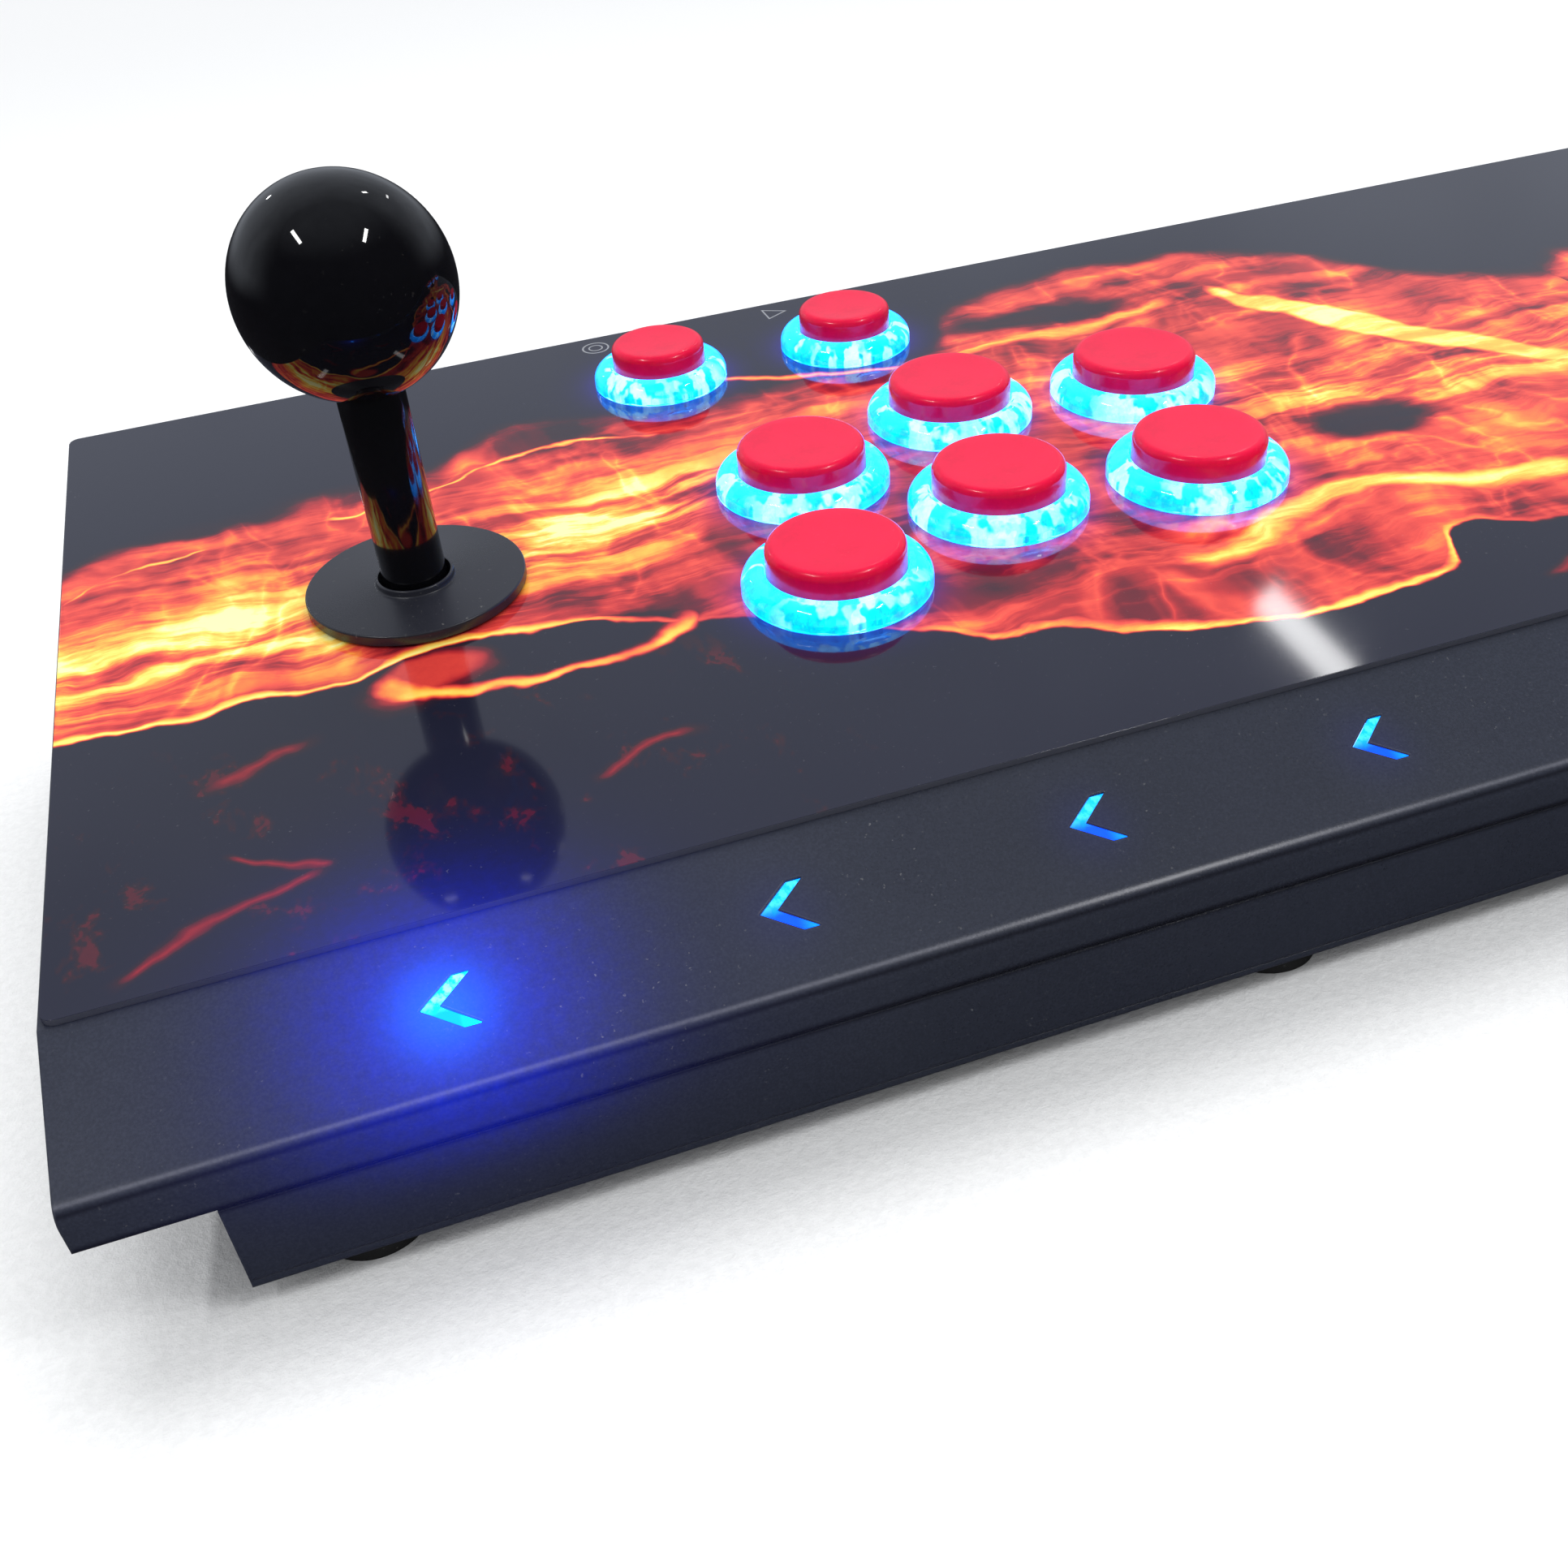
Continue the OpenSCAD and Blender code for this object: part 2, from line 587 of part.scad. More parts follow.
module stick_plates() color([0.75, 0.75, 0.77])
  for (side = [left, right]) at_stick(side) difference() {
    union() {
      translate([-22, -34, mount_top - plate_t]) cube([44, 68, plate_t]);
      for (s = [-1, 1]) {
        translate([-22, s > 0 ? 34 - plate_t : -34, mount_top - plate_t])
          cube([44, plate_t, steel_under - gap - mount_top + plate_t]);
        translate([-22, s > 0 ? 34 - plate_t : -48, steel_under - gap - plate_t]) cube([44, 14 + plate_t, plate_t]);
      }
    }
    translate([0, 0, -12]) cylinder(r = 9.6, h = 12);
    for (x = [-16, 16], y = [-41, 41]) translate([x, y, -12]) cylinder(r = 2.2, h = 12, $fn = 32);
    for (x = [-15.5, 15.5], y = [-15.5, 15.5]) translate([x, y, -12]) cylinder(r = 1.6, h = 12, $fn = 32);
  }

module stick_housings() color([0.13, 0.13, 0.14])
  for (side = [left, right]) at_stick(side) difference() {
    union() {
      translate([-housing_half, -housing_half, housing_bottom])
        cube([2 * housing_half, 2 * housing_half, housing_top - housing_bottom]);
      for (x = [-housing_half, housing_half - post], y = [-housing_half, housing_half - post])
        translate([x, y, gate_top + gap]) cube([post, post, housing_bottom - gate_top + 1]);
    }
    translate([0, 0, housing_bottom - 1]) cylinder(r = cavity_r, h = cavity_top - housing_bottom + 1);
    translate([0, 0, -12]) cylinder(r = 9.2, h = 12);
    translate([0, 0, -pivot_depth]) rotate([0, 90, 0])
      cylinder(r = pin_r + pin_slack, h = 4 * housing_half, center = true);
    for (x = [-15.5, 15.5], y = [-15.5, 15.5]) translate([x, y, -50]) cylinder(r = 1.6, h = 60, $fn = 32);
  }

module stick_gates() color([0.85, 0.85, 0.82])
  for (side = [left, right]) at_stick(side) translate([0, 0, gate_top - gate_t]) difference() {
    translate([-19, -19, 0]) cube([38, 38, gate_t]);
    translate([-gate_half, -gate_half, -1]) cube([2 * gate_half, 2 * gate_half, gate_t + 2]);
    for (x = [-15.5, 15.5], y = [-15.5, 15.5]) translate([x, y, -1]) cylinder(r = 1.6, h = gate_t + 2, $fn = 32);
  }

// Weld studs and nuts for the plates, and the long screws that hold gate and housing
module stick_bolts() color([0.78, 0.78, 0.8])
  for (side = [left, right]) at_stick(side) {
    for (x = [-16, 16], y = [-41, 41]) translate([x, y, 0]) {
      translate([0, 0, steel_under - gap - 8]) cylinder(r = 2, h = 8, $fn = 32);
      translate([0, 0, steel_under - plate_t - 2 * gap - 3.2]) difference() {
        cylinder(r = 4, h = 3.2, $fn = 6);
        translate([0, 0, -1]) cylinder(r = 2.05, h = 6, $fn = 32);
      }
    }
    for (x = [-15.5, 15.5], y = [-15.5, 15.5])
      translate([x, y, gate_top - gate_t - gap]) pan_screw(1.5, 2.8, 1.8, 29.5);
  }

// ---- Electronics and rear ports ----

module game_board() color([0.05, 0.3, 0.12]) difference() {
  translate([board[0], board_back - board_depth, board_z])
    cube([board[1] - board[0], board_depth, board_t]);
  for (x = standoff_x, y = standoff_y) translate([x, y, 0]) cylinder(r = 1.7, h = 30, $fn = 24);
}

module board_standoffs() color([0.85, 0.7, 0.3])
  for (x = standoff_x, y = standoff_y) translate([x, y, floor_in + gap]) difference() {
    cylinder(r = 2.8, h = board_z - floor_in - 2 * gap, $fn = 6);
    translate([0, 0, -1]) cylinder(r = 1.55, h = 12, $fn = 24);
  }

module heat_sink() color([0.8, 0.82, 0.85]) translate([-50, board_back - 70, board_z + board_t + gap]) {
  cube([30, 30, 2.5]);
  for (i = [0 : 7]) translate([i * 4.1, 0, 2.4]) cube([1.3, 30, 7.6]);
}

// A socket shell: x, width, height, depth and wall
module socket_shell(x, w, h, depth, wall) {
  y = wall_back + socket_out - depth;
  translate([x - w / 2, y, socket_z]) difference() {
    cube([w, depth, h]);
    translate([wall, 3, wall]) cube([w - 2 * wall, depth, h - 2 * wall]);
  }
}

module video_sockets() color([0.75, 0.75, 0.78]) {
  socket_shell(hdmi[0], hdmi[1], hdmi[2], 12, 0.6);
  translate([hdmi[0] - 5.5, wall_back - 9, socket_z + 2.4]) cube([11, 8.5, 1.2]);
  y = wall_back + socket_out;
  translate([vga[0] - vga[1] / 2, y - 12, socket_z]) cube([vga[1], 11, vga[2]]);
  translate([vga[0] - 8.5, y - 1.5, socket_z + 2.3]) difference() {
    cube([17, 6.5, 8]);
    translate([0.6, 2, 0.6]) cube([15.8, 6, 6.8]);
  }
  for (s = [-1, 1]) translate([vga[0] + s * 12.5, y - 1.1, socket_z + 6.25]) rotate([-90, 0, 0]) difference() {
    cylinder(r = 2.6, h = 4.5, $fn = 6);
    translate([0, 0, 1]) cylinder(r = 1.3, h = 5, $fn = 24);
  }
}

module usb_sockets() color([0.78, 0.78, 0.8]) for (u = usb) {
  socket_shell(u[0], u[1], u[2], 14, 0.6);
  translate([u[0] - 5.6, wall_back - 10.5, socket_z + 3.9]) cube([11.2, 9.5, 1.9]);
}

module audio_jack() color([0.06, 0.06, 0.06]) difference() {
  union() {
    translate([audio[0] - 4, wall_back - 11, socket_z]) cube([8, 11 + socket_out - 0.9, 8]);
    translate([audio[0], wall_back, socket_z + 4]) rotate([-90, 0, 0]) cylinder(r = 3.4, h = 2, $fn = 48);
  }
  translate([audio[0], wall_back - 8, socket_z + 4]) rotate([-90, 0, 0]) cylinder(r = 1.8, h = 20, $fn = 32);
}

module power_inlet() color([0.05, 0.05, 0.05]) {
  difference() {
    translate([power[0] - power[1] / 2, wall_back - 12, socket_z]) cube([power[1], 12 + socket_out, power[2]]);
    translate([power[0], wall_back - 9, socket_z + 6]) rotate([-90, 0, 0]) cylinder(r = 3, h = 12, $fn = 48);
  }
  translate([power[0], wall_back - 9.5, socket_z + 6]) rotate([-90, 0, 0]) cylinder(r = 1, h = 9.5, $fn = 24);
}

module rocker_frame() color([0.05, 0.05, 0.05]) difference() {
  union() {
    translate([rocker[0] - rocker[1] / 2, wall_back - 14, rocker_z - rocker[2] / 2])
      cube([rocker[1], 14 + gap, rocker[2]]);
    translate([rocker[0] - 10.8, wall_back + gap, rocker_z - 7.6]) cube([21.6, 1.7, 15.2]);
  }
  translate([rocker[0] - 8.6, wall_back - 8, rocker_z - 5.4]) cube([17.2, 20, 10.8]);
  translate([rocker[0], wall_back - 0.5, rocker_z]) cylinder(r = 1.05, h = 13, center = true, $fn = 32);
}

// Paddle that tips about an upright pin, standing switched on
module rocker_paddle() color([0.7, 0.05, 0.05])
  translate([rocker[0], wall_back - 0.5, rocker_z]) {
    translate([0, 0, -5.4 + paddle_slack]) linear_extrude(10.8 - 2 * paddle_slack) rotate(rocker_rest) polygon([
      [-7.4, 2.3], [0, 1.2], [7.4, 2.3], [7.6, -0.6], [2.4, -3.6], [-2.4, -3.6], [-7.6, -0.6]]);
    cylinder(r = 1, h = 12.4, center = true, $fn = 32);
  }

upper_shell();
deck_cover();
base_frame();
bottom_plate();
rubber_feet();
m3_screws();
shell_screws();
clinch_nuts();
light_diffuser();
light_board();
lamp_leds();
button_rims();
button_nuts();
switch_holders();
microswitches();
game_board();
board_standoffs();
heat_sink();
video_sockets();
usb_sockets();
audio_jack();
power_inlet();
rocker_frame();
rocker_paddle();
stick_plates();
stick_housings();
stick_gates();
stick_bolts();
ball(left);  // left_ball
sleeve(left);  // left_sleeve
shaft(left);  // left_shaft
actuator(left);  // left_actuator
spring(left);  // left_spring
pivot_ring(left);  // left_pivot_ring
dust_washer(left);  // left_dust_washer
dust_slider(left);  // left_dust_slider
ball(right);  // right_ball
sleeve(right);  // right_sleeve
shaft(right);  // right_shaft
actuator(right);  // right_actuator
spring(right);  // right_spring
pivot_ring(right);  // right_pivot_ring
dust_washer(right);  // right_dust_washer
dust_slider(right);  // right_dust_slider
plunger_at(left, 0);  // left_plunger_1
plunger_at(left, 1);  // left_plunger_2
plunger_at(left, 2);  // left_plunger_3
plunger_at(left, 3);  // left_plunger_4
plunger_at(left, 4);  // left_plunger_5
plunger_at(left, 5);  // left_plunger_6
plunger_at(left, coin);  // left_coin_plunger
plunger_at(left, start);  // left_start_plunger
plunger_at(right, 0);  // right_plunger_1
plunger_at(right, 1);  // right_plunger_2
plunger_at(right, 2);  // right_plunger_3
plunger_at(right, 3);  // right_plunger_4
plunger_at(right, 4);  // right_plunger_5
plunger_at(right, 5);  // right_plunger_6
plunger_at(right, coin);  // right_coin_plunger
plunger_at(right, start);  // right_start_plunger
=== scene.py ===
"""Looks for a two-player arcade joystick console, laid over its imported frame."""

import json
import math

import bmesh
import bpy
from bpy.props import FloatProperty, FloatVectorProperty, IntProperty, PointerProperty
from mathutils import Matrix, Vector

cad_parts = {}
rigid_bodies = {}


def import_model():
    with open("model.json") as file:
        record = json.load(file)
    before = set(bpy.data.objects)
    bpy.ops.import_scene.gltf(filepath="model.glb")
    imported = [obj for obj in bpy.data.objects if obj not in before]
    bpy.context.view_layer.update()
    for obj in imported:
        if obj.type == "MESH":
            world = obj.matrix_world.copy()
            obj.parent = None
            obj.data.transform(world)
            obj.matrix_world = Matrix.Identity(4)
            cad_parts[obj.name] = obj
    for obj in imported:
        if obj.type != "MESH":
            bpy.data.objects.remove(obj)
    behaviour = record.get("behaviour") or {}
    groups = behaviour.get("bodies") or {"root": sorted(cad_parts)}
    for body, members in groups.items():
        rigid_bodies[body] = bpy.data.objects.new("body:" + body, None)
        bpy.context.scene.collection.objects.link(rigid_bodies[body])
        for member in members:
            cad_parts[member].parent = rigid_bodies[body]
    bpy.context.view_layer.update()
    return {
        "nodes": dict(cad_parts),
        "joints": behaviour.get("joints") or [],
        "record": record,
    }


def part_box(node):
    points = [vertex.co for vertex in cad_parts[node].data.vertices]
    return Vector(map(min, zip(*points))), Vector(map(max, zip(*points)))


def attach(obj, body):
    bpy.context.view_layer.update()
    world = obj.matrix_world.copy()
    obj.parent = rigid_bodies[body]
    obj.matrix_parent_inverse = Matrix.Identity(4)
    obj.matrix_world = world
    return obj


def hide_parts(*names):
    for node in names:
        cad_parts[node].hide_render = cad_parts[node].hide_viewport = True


bl_info = {
    "name": "Arcade Joystick Console",
    "version": (1, 0, 0),
    "blender": (4, 5, 0),
    "location": "3D View > Sidebar > Console",
    "description": "Finishes and fine pieces for a two-player joystick console",
    "category": "Object",
}

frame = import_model()
NODES = frame["nodes"]
bpy.data.batch_remove(bpy.data.materials)
MM = 0.001
RIM_GAP = 0.25  # between a plunger and its rim, in millimetres
RIM_WIDTH = 4.15  # of a rim's face, in millimetres
SIDES = ("left", "right")
PLUNGERS = ["plunger_%d" % n for n in range(1, 7)] + ["coin_plunger", "start_plunger"]


# ---- The console's own axes ----


def joint_axis(name):
    return Vector(next(j["axis"] for j in frame["joints"] if j["name"] == name))


def axes_matrix(along, back, up, origin):
    """A frame with its X along the console, Y towards the back and Z square to the surface."""
    return Matrix.Translation(origin) @ Matrix((along, back, up)).transposed().to_4x4()


def deck_axes():
    """The deck's frame, with its origin at the left end of the fold."""
    up = -joint_axis("left_plunger_1_press")
    back = Vector((0, up.z, -up.y))
    low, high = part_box("deck_cover")
    depth, rise = high.y - low.y, high.z - low.z
    thick = (rise * back.y - depth * back.z) / (back.y**2 - back.z**2)
    origin = Vector((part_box("upper_shell")[0].x, low.y, low.z + thick * up.z))
    return axes_matrix(Vector((1, 0, 0)), back, up, origin), thick


DECK, COVER_THICK = deck_axes()


def slope_axes():
    """The lit slope's frame, with its origin at the left end of the fold, on the steel."""
    face = max(NODES["light_board"].data.polygons, key=lambda p: (round(p.area, 9), p.normal.z))
    up = face.normal.normalized() * math.copysign(1, face.normal.z)
    back = up.cross(Vector((1, 0, 0)))
    return axes_matrix(Vector((1, 0, 0)), back, up, DECK @ Vector((0, 0, -COVER_THICK)))


SLOPE = slope_axes()


def box_in(axes, node):
    """The lowest and highest corners of a node, measured along a frame's own axes."""
    back = axes.inverted()
    points = [back @ v.co for v in NODES[node].data.vertices]
    return (
        Vector([min(p[i] for p in points) for i in range(3)]),
        Vector([max(p[i] for p in points) for i in range(3)]),
    )


def at_deck(x, y, z=0.0):
    return DECK @ Matrix.Translation((x, y, z))


# ---- Shader nodes ----


class Shading:
    """Adds shader nodes to a tree and joins them up."""

    def __init__(self, tree):
        self.tree = tree

    def put(self, socket, value):
        """Joins a socket to another, or sets its value."""
        if isinstance(value, bpy.types.NodeSocket):
            self.tree.links.new(value, socket)
        else:
            socket.default_value = value

    def add(self, kind, values=None, **settings):
        node = self.tree.nodes.new("ShaderNode" + kind)
        for name, value in settings.items():
            setattr(node, name, value)
        self.fill(node, values or {})
        return node

    def fill(self, node, values):
        for name, value in values.items():
            self.put(node.inputs[name], value)

    def math(self, operation, *values, clamp=False):
        node = self.add("Math", operation=operation, use_clamp=clamp)
        for i, value in enumerate(values):
            self.put(node.inputs[i], value)
        return node.outputs[0]

    def chain(self, operation, first, others):
        for other in others:
            first = self.math(operation, first, other)
        return first

    def largest(self, first, *others):
        return self.chain("MAXIMUM", first, others)

    def product(self, first, *others):
        return self.chain("MULTIPLY", first, others)

    def plus(self, first, *others):
        return self.chain("ADD", first, others)

    def less(self, value, taken):
        return self.math("SUBTRACT", value, taken)

    def length(self, *sides):
        return self.math("SQRT", self.plus(*[self.product(side, side) for side in sides]))

    def bell(self, distance, width):
        """1 at no distance, dying away like a bell curve."""
        share = self.math("POWER", self.math("DIVIDE", distance, width), 2.0)
        return self.math("EXPONENT", self.product(share, -1.0))

    def ease(self, value, low, high, start=0.0, end=1.0):
        """Goes smoothly from start to end as the value goes from low to high."""
        values = {"Value": value, "From Min": low, "From Max": high, "To Min": start, "To Max": end}
        return self.add("MapRange", values, interpolation_type="SMOOTHSTEP").outputs["Result"]

    def near(self, distance, width):
        """1 at no distance, falling to 0 at the width."""
        return self.ease(self.math("ABSOLUTE", distance), 0.0, width, 1.0, 0.0)

    def between(self, value, low, high, soft):
        """1 from low to high, falling to 0 past either."""
        rise = self.ease(value, low - soft, low)
        return self.product(rise, self.ease(value, high, high + soft, 1.0, 0.0))

    def curve(self, value, points, span, top):
        """A smooth curve through points, its value read over 0 to span and given over 0 to top."""
        node = self.add("FloatCurve", {"Value": self.math("DIVIDE", value, span)})
        line = node.mapping.curves[0].points
        line[0].location = (points[0][0] / span, points[0][1] / top)
        line[1].location = (points[-1][0] / span, points[-1][1] / top)
        for x, y in points[1:-1]:
            line.new(x / span, y / top)
        node.mapping.update()
        return self.math("MULTIPLY", node.outputs[0], top)

    def tinted(self, colour, tone):
        """A colour made lighter or darker by one value."""
        return self.mix(1.0, colour, self.vector(tone, tone, tone), "MULTIPLY")

    def mix(self, factor, a, b, blend="MIX"):
        node = self.add("Mix", data_type="RGBA", blend_type=blend)
        for i, value in ((0, factor), (6, a), (7, b)):
            self.put(node.inputs[i], value)
        return node.outputs[2]

    def ramp(self, factor, stops):
        node = self.add("ValToRGB", {"Fac": factor})
        line = node.color_ramp.elements
        line.remove(line[1])
        line[0].position = stops[0][0]
        for place, _ in stops[1:]:
            line.new(place)
        for element, (_, colour) in zip(line, stops):
            element.color = (*colour, 1)
        return node.outputs["Color"]

    def noise(self, vector, scale, detail=3.0, roughness=0.5, distortion=0.0, output="Fac"):
        values = {"Vector": vector, "Scale": scale, "Detail": detail}
        values.update({"Roughness": roughness, "Distortion": distortion})
        return self.add("TexNoise", values).outputs[output]

    def normal(self, output="Normal"):
        return self.add("NewGeometry").outputs[output]

    def parts(self, vector):
        return self.add("SeparateXYZ", {"Vector": vector}).outputs

    def vector(self, x, y, z=0.0):
        return self.add("CombineXYZ", {"X": x, "Y": y, "Z": z}).outputs[0]

    def place(self, axes=None):
        """Position in millimetres, along a frame's axes or the object's own."""
        spot = self.add("TexCoord").outputs["Object"]
        values = {"Vector": spot, "Scale": (MM, MM, MM)}
        if axes is not None:
            values["Location"] = axes.translation
            values["Rotation"] = axes.to_euler()
        return self.add("Mapping", values, vector_type="TEXTURE").outputs[0]

    def group(self, tree, values):
        return self.add("Group", values, node_tree=tree).outputs


def new_group(name, inputs, outputs):
    """A shader node group with its sockets made, and the two ends to build between."""
    tree = bpy.data.node_groups.new(name, "ShaderNodeTree")
    for socket, kind, default in inputs:
        made = tree.interface.new_socket(socket, in_out="INPUT", socket_type="NodeSocket" + kind)
        if default is not None:
            made.default_value = default
    for socket, kind in outputs:
        tree.interface.new_socket(socket, in_out="OUTPUT", socket_type="NodeSocket" + kind)
    s = Shading(tree)
    start = tree.nodes.new("NodeGroupInput")
    return tree, s, start.outputs, tree.nodes.new("NodeGroupOutput").inputs


def group_named(name, make):
    return bpy.data.node_groups.get(name) or make(name)


def make_surface_grain(name):
    """Fine texture of a coated or moulded skin, with slow shifts in its tone."""
    tree, s, given, out = new_group(
        name,
        [("Position", "Vector", None), ("Grains per mm", "Float", 1.5), ("Patch mm", "Float", 30.0)],
        [("Height", "Float"), ("Tone", "Float")],
    )
    fine = s.noise(given["Position"], given["Grains per mm"], 2.0, 0.6)
    patches = s.math("DIVIDE", 1.0, given["Patch mm"])
    slow = s.noise(given["Position"], patches, 4.0, 0.55)
    s.put(out["Height"], fine)
    s.put(out["Tone"], s.plus(s.product(fine, 0.35), s.product(slow, 0.65)))
    return tree


def make_edge_wear(name):
    """Where the rounded normal turns from the true one, broken up by noise."""
    tree, s, given, out = new_group(
        name,
        [("Position", "Vector", None), ("Rounded Normal", "Vector", None), ("Amount", "Float", 0.5)],
        [("Wear", "Float")],
    )
    turn = s.add("VectorMath", operation="DOT_PRODUCT")
    s.put(turn.inputs[0], s.normal())
    s.put(turn.inputs[1], given["Rounded Normal"])
    edge = s.ease(s.less(1.0, turn.outputs["Value"]), 0.02, 0.2)
    broken = s.ease(s.noise(given["Position"], 0.8, 5.0, 0.7), 0.42, 0.62)
    s.put(out["Wear"], s.product(edge, broken, given["Amount"]))
    return tree


def make_dust(name):
    """Thin dust and finger marks, in drifts."""
    tree, s, given, out = new_group(
        name,
        [("Position", "Vector", None), ("Amount", "Float", 0.2)],
        [("Dust", "Float"), ("Smear", "Float")],
    )
    specks = s.ease(s.noise(given["Position"], 1.1, 2.0, 0.8), 0.66, 0.74)
    banks = s.ease(s.noise(given["Position"], 0.03, 4.0, 0.6), 0.35, 0.75)
    s.put(out["Dust"], s.product(specks, banks, given["Amount"]))
    stretched = s.add("Mapping", {"Vector": given["Position"], "Scale": (0.05, 0.012, 0.05)}).outputs[0]
    s.put(out["Smear"], s.product(s.noise(stretched, 1.0, 6.0, 0.6), given["Amount"]))
    return tree


def make_lamp_glow(name):
    """Blue light spilt round the lamp at each end of the slope, and round every chevron."""
    tree, s, given, out = new_group(
        name,
        [("Deck Position", "Vector", None), ("Length", "Float", 644.0), ("Pitch", "Float", 46.0),
         ("Row", "Float", -12.0), ("Strength", "Float", 1.0)],
        [("Glow", "Color")],
    )
    x, y, z = s.parts(given["Deck Position"])
    half = s.product(given["Length"], 0.5)
    from_end = s.less(half, s.math("ABSOLUTE", s.less(x, half)))
    dx = s.less(s.less(from_end, given["Pitch"]), 3.0)
    dy = s.less(y, given["Row"])
    # Below the bend the light dies away sooner
    deep = s.product(s.math("MINIMUM", s.plus(z, 8.0), 0.0), 1.9)
    reach = s.length(dx, dy, deep)
    rough = s.noise(given["Deck Position"], 0.6, 3.0, 0.7)
    wide, tight, haze = s.bell(reach, 17.0), s.bell(reach, 6.0), s.bell(reach, 32.0)
    step = s.math("PINGPONG", s.less(from_end, 3.0), s.product(given["Pitch"], 0.5))
    small = s.bell(s.length(step, dy), 5.5)
    rows = s.ease(from_end, 20.0, 30.0)
    blue = s.plus(s.product(wide, s.plus(rough, 0.5)), s.product(small, rows, 0.05))
    total = s.mix(1.0, s.tinted((0.0, 0.012, 0.62, 1), blue), s.tinted((0.0, 0.14, 1.0, 1), tight), "ADD")
    total = s.mix(1.0, total, s.vector(0.0, s.product(haze, 0.001), s.product(haze, 0.032)), "ADD")
    s.put(out["Glow"], s.tinted(total, given["Strength"]))
    return tree


def grain(s, position, per_mm, patch):
    tree = group_named("Surface Grain", make_surface_grain)
    return s.group(tree, {"Position": position, "Grains per mm": per_mm, "Patch mm": patch})


def wear(s, position, rounded, amount):
    tree = group_named("Edge Wear", make_edge_wear)
    return s.group(tree, {"Position": position, "Rounded Normal": rounded, "Amount": amount})["Wear"]


def dust(s, position, amount):
    return s.group(group_named("Dust", make_dust), {"Position": position, "Amount": amount})


def half_length():
    """Half the console's width, in millimetres: one player's share."""
    low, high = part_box("upper_shell")
    return (high.x - low.x) / MM / 2


def chevron_row():
    low, high = box_in(SLOPE, "light_board")
    return (low.y + high.y) / 2


def lamp_glow(s, strength):
    length = half_length() * 2
    values = {"Deck Position": s.place(DECK), "Length": length, "Pitch": length / 14}
    values.update({"Row": chevron_row() / MM, "Strength": strength})
    return s.group(group_named("Lamp Glow", make_lamp_glow), values)["Glow"]


# ---- Finishes ----

# base colour, metallic, roughness, coat, grains per mm, grain height in mm, edge radius in mm, wear, dust
FINISHES = {
    "foot_rubber": ((0.016, 0.016, 0.017), 0.0, 0.75, 0.0, 2.5, 0.05, 0.4, 0.3, 0.9),
    "bright_steel": ((0.62, 0.62, 0.64), 1.0, 0.24, 0.0, 5.0, 0.004, 0.12, 0.2, 0.1),
    "black_steel": ((0.03, 0.03, 0.033), 0.6, 0.38, 0.0, 4.0, 0.01, 0.15, 0.6, 0.2),
    "plain_steel": ((0.5, 0.5, 0.52), 1.0, 0.32, 0.0, 6.0, 0.006, 0.15, 0.2, 0.1),
    "white_board": ((0.75, 0.77, 0.74), 0.0, 0.35, 0.2, 2.0, 0.01, 0.1, 0.1, 0.2),
    "black_nylon": ((0.02, 0.02, 0.022), 0.0, 0.48, 0.0, 3.0, 0.03, 0.25, 0.35, 0.4),
    "white_nylon": ((0.74, 0.74, 0.7), 0.0, 0.45, 0.0, 3.0, 0.03, 0.25, 0.2, 0.4),
    "brass": ((0.66, 0.46, 0.18), 1.0, 0.28, 0.0, 4.0, 0.006, 0.12, 0.2, 0.1),
    "aluminium": ((0.66, 0.67, 0.69), 1.0, 0.36, 0.0, 5.0, 0.01, 0.15, 0.2, 0.2),
    "gloss_black": ((0.003, 0.003, 0.004), 0.0, 0.03, 0.0, 0.4, 0.0006, 0.0, 0.0, 0.04),
    "sleeve_black": ((0.003, 0.003, 0.004), 0.0, 0.1, 0.2, 1.2, 0.002, 0.0, 0.0, 0.08),
    "washer_black": ((0.017, 0.018, 0.026), 0.0, 0.28, 0.0, 3.0, 0.006, 0.0, 0.0, 0.3),
}
# colour and strength
LIT = {"lit_acrylic": ((0.05, 0.5, 1.0), 1.2), "lit_lens": ((0.3, 0.85, 1.0), 3.0)}

# One player's flames, in millimetres along the deck and up it from the fold; the next player's repeat them
DECK_SPAN = 200
FLAME_TOP = ((0, 122), (20, 133), (60, 136), (90, 148), (125, 141), (150, 143), (180, 143), (193, 162),
             (215, 170), (250, 169), (280, 155), (300, 132))
FLAME_FOOT = ((0, 61), (45, 63), (80, 63), (105, 56), (125, 45), (150, 31), (175, 21), (205, 14), (222, 16),
              (234, 27), (248, 22), (275, 28), (300, 48))
CORE_LINE = ((0, 84), (60, 90), (105, 99), (150, 112), (200, 100), (245, 90), (290, 84))
# Heat at places along the deck
CORE_HEAT = ((0, 0.9), (70, 0.92), (104, 1.0), (124, 0.3), (150, 0.06), (205, 0.05), (234, 0.66), (262, 0.6),
             (300, 0.6))
FOOT_HEAT = ((0, 0.95), (70, 0.9), (95, 0.62), (120, 0.4), (142, 0.72), (175, 0.92), (215, 0.95), (236, 0.66),
             (262, 0.4))
# The crescent's middle and half width at places up the deck
CRESCENT_LINE = ((0, 322), (60, 306), (75, 298), (90, 286), (110, 271), (130, 260), (147, 252), (200, 240))
CRESCENT_WIDTH = ((0, 0), (62, 0), (80, 7), (105, 10), (125, 8.5), (140, 5), (152, 0), (200, 0))
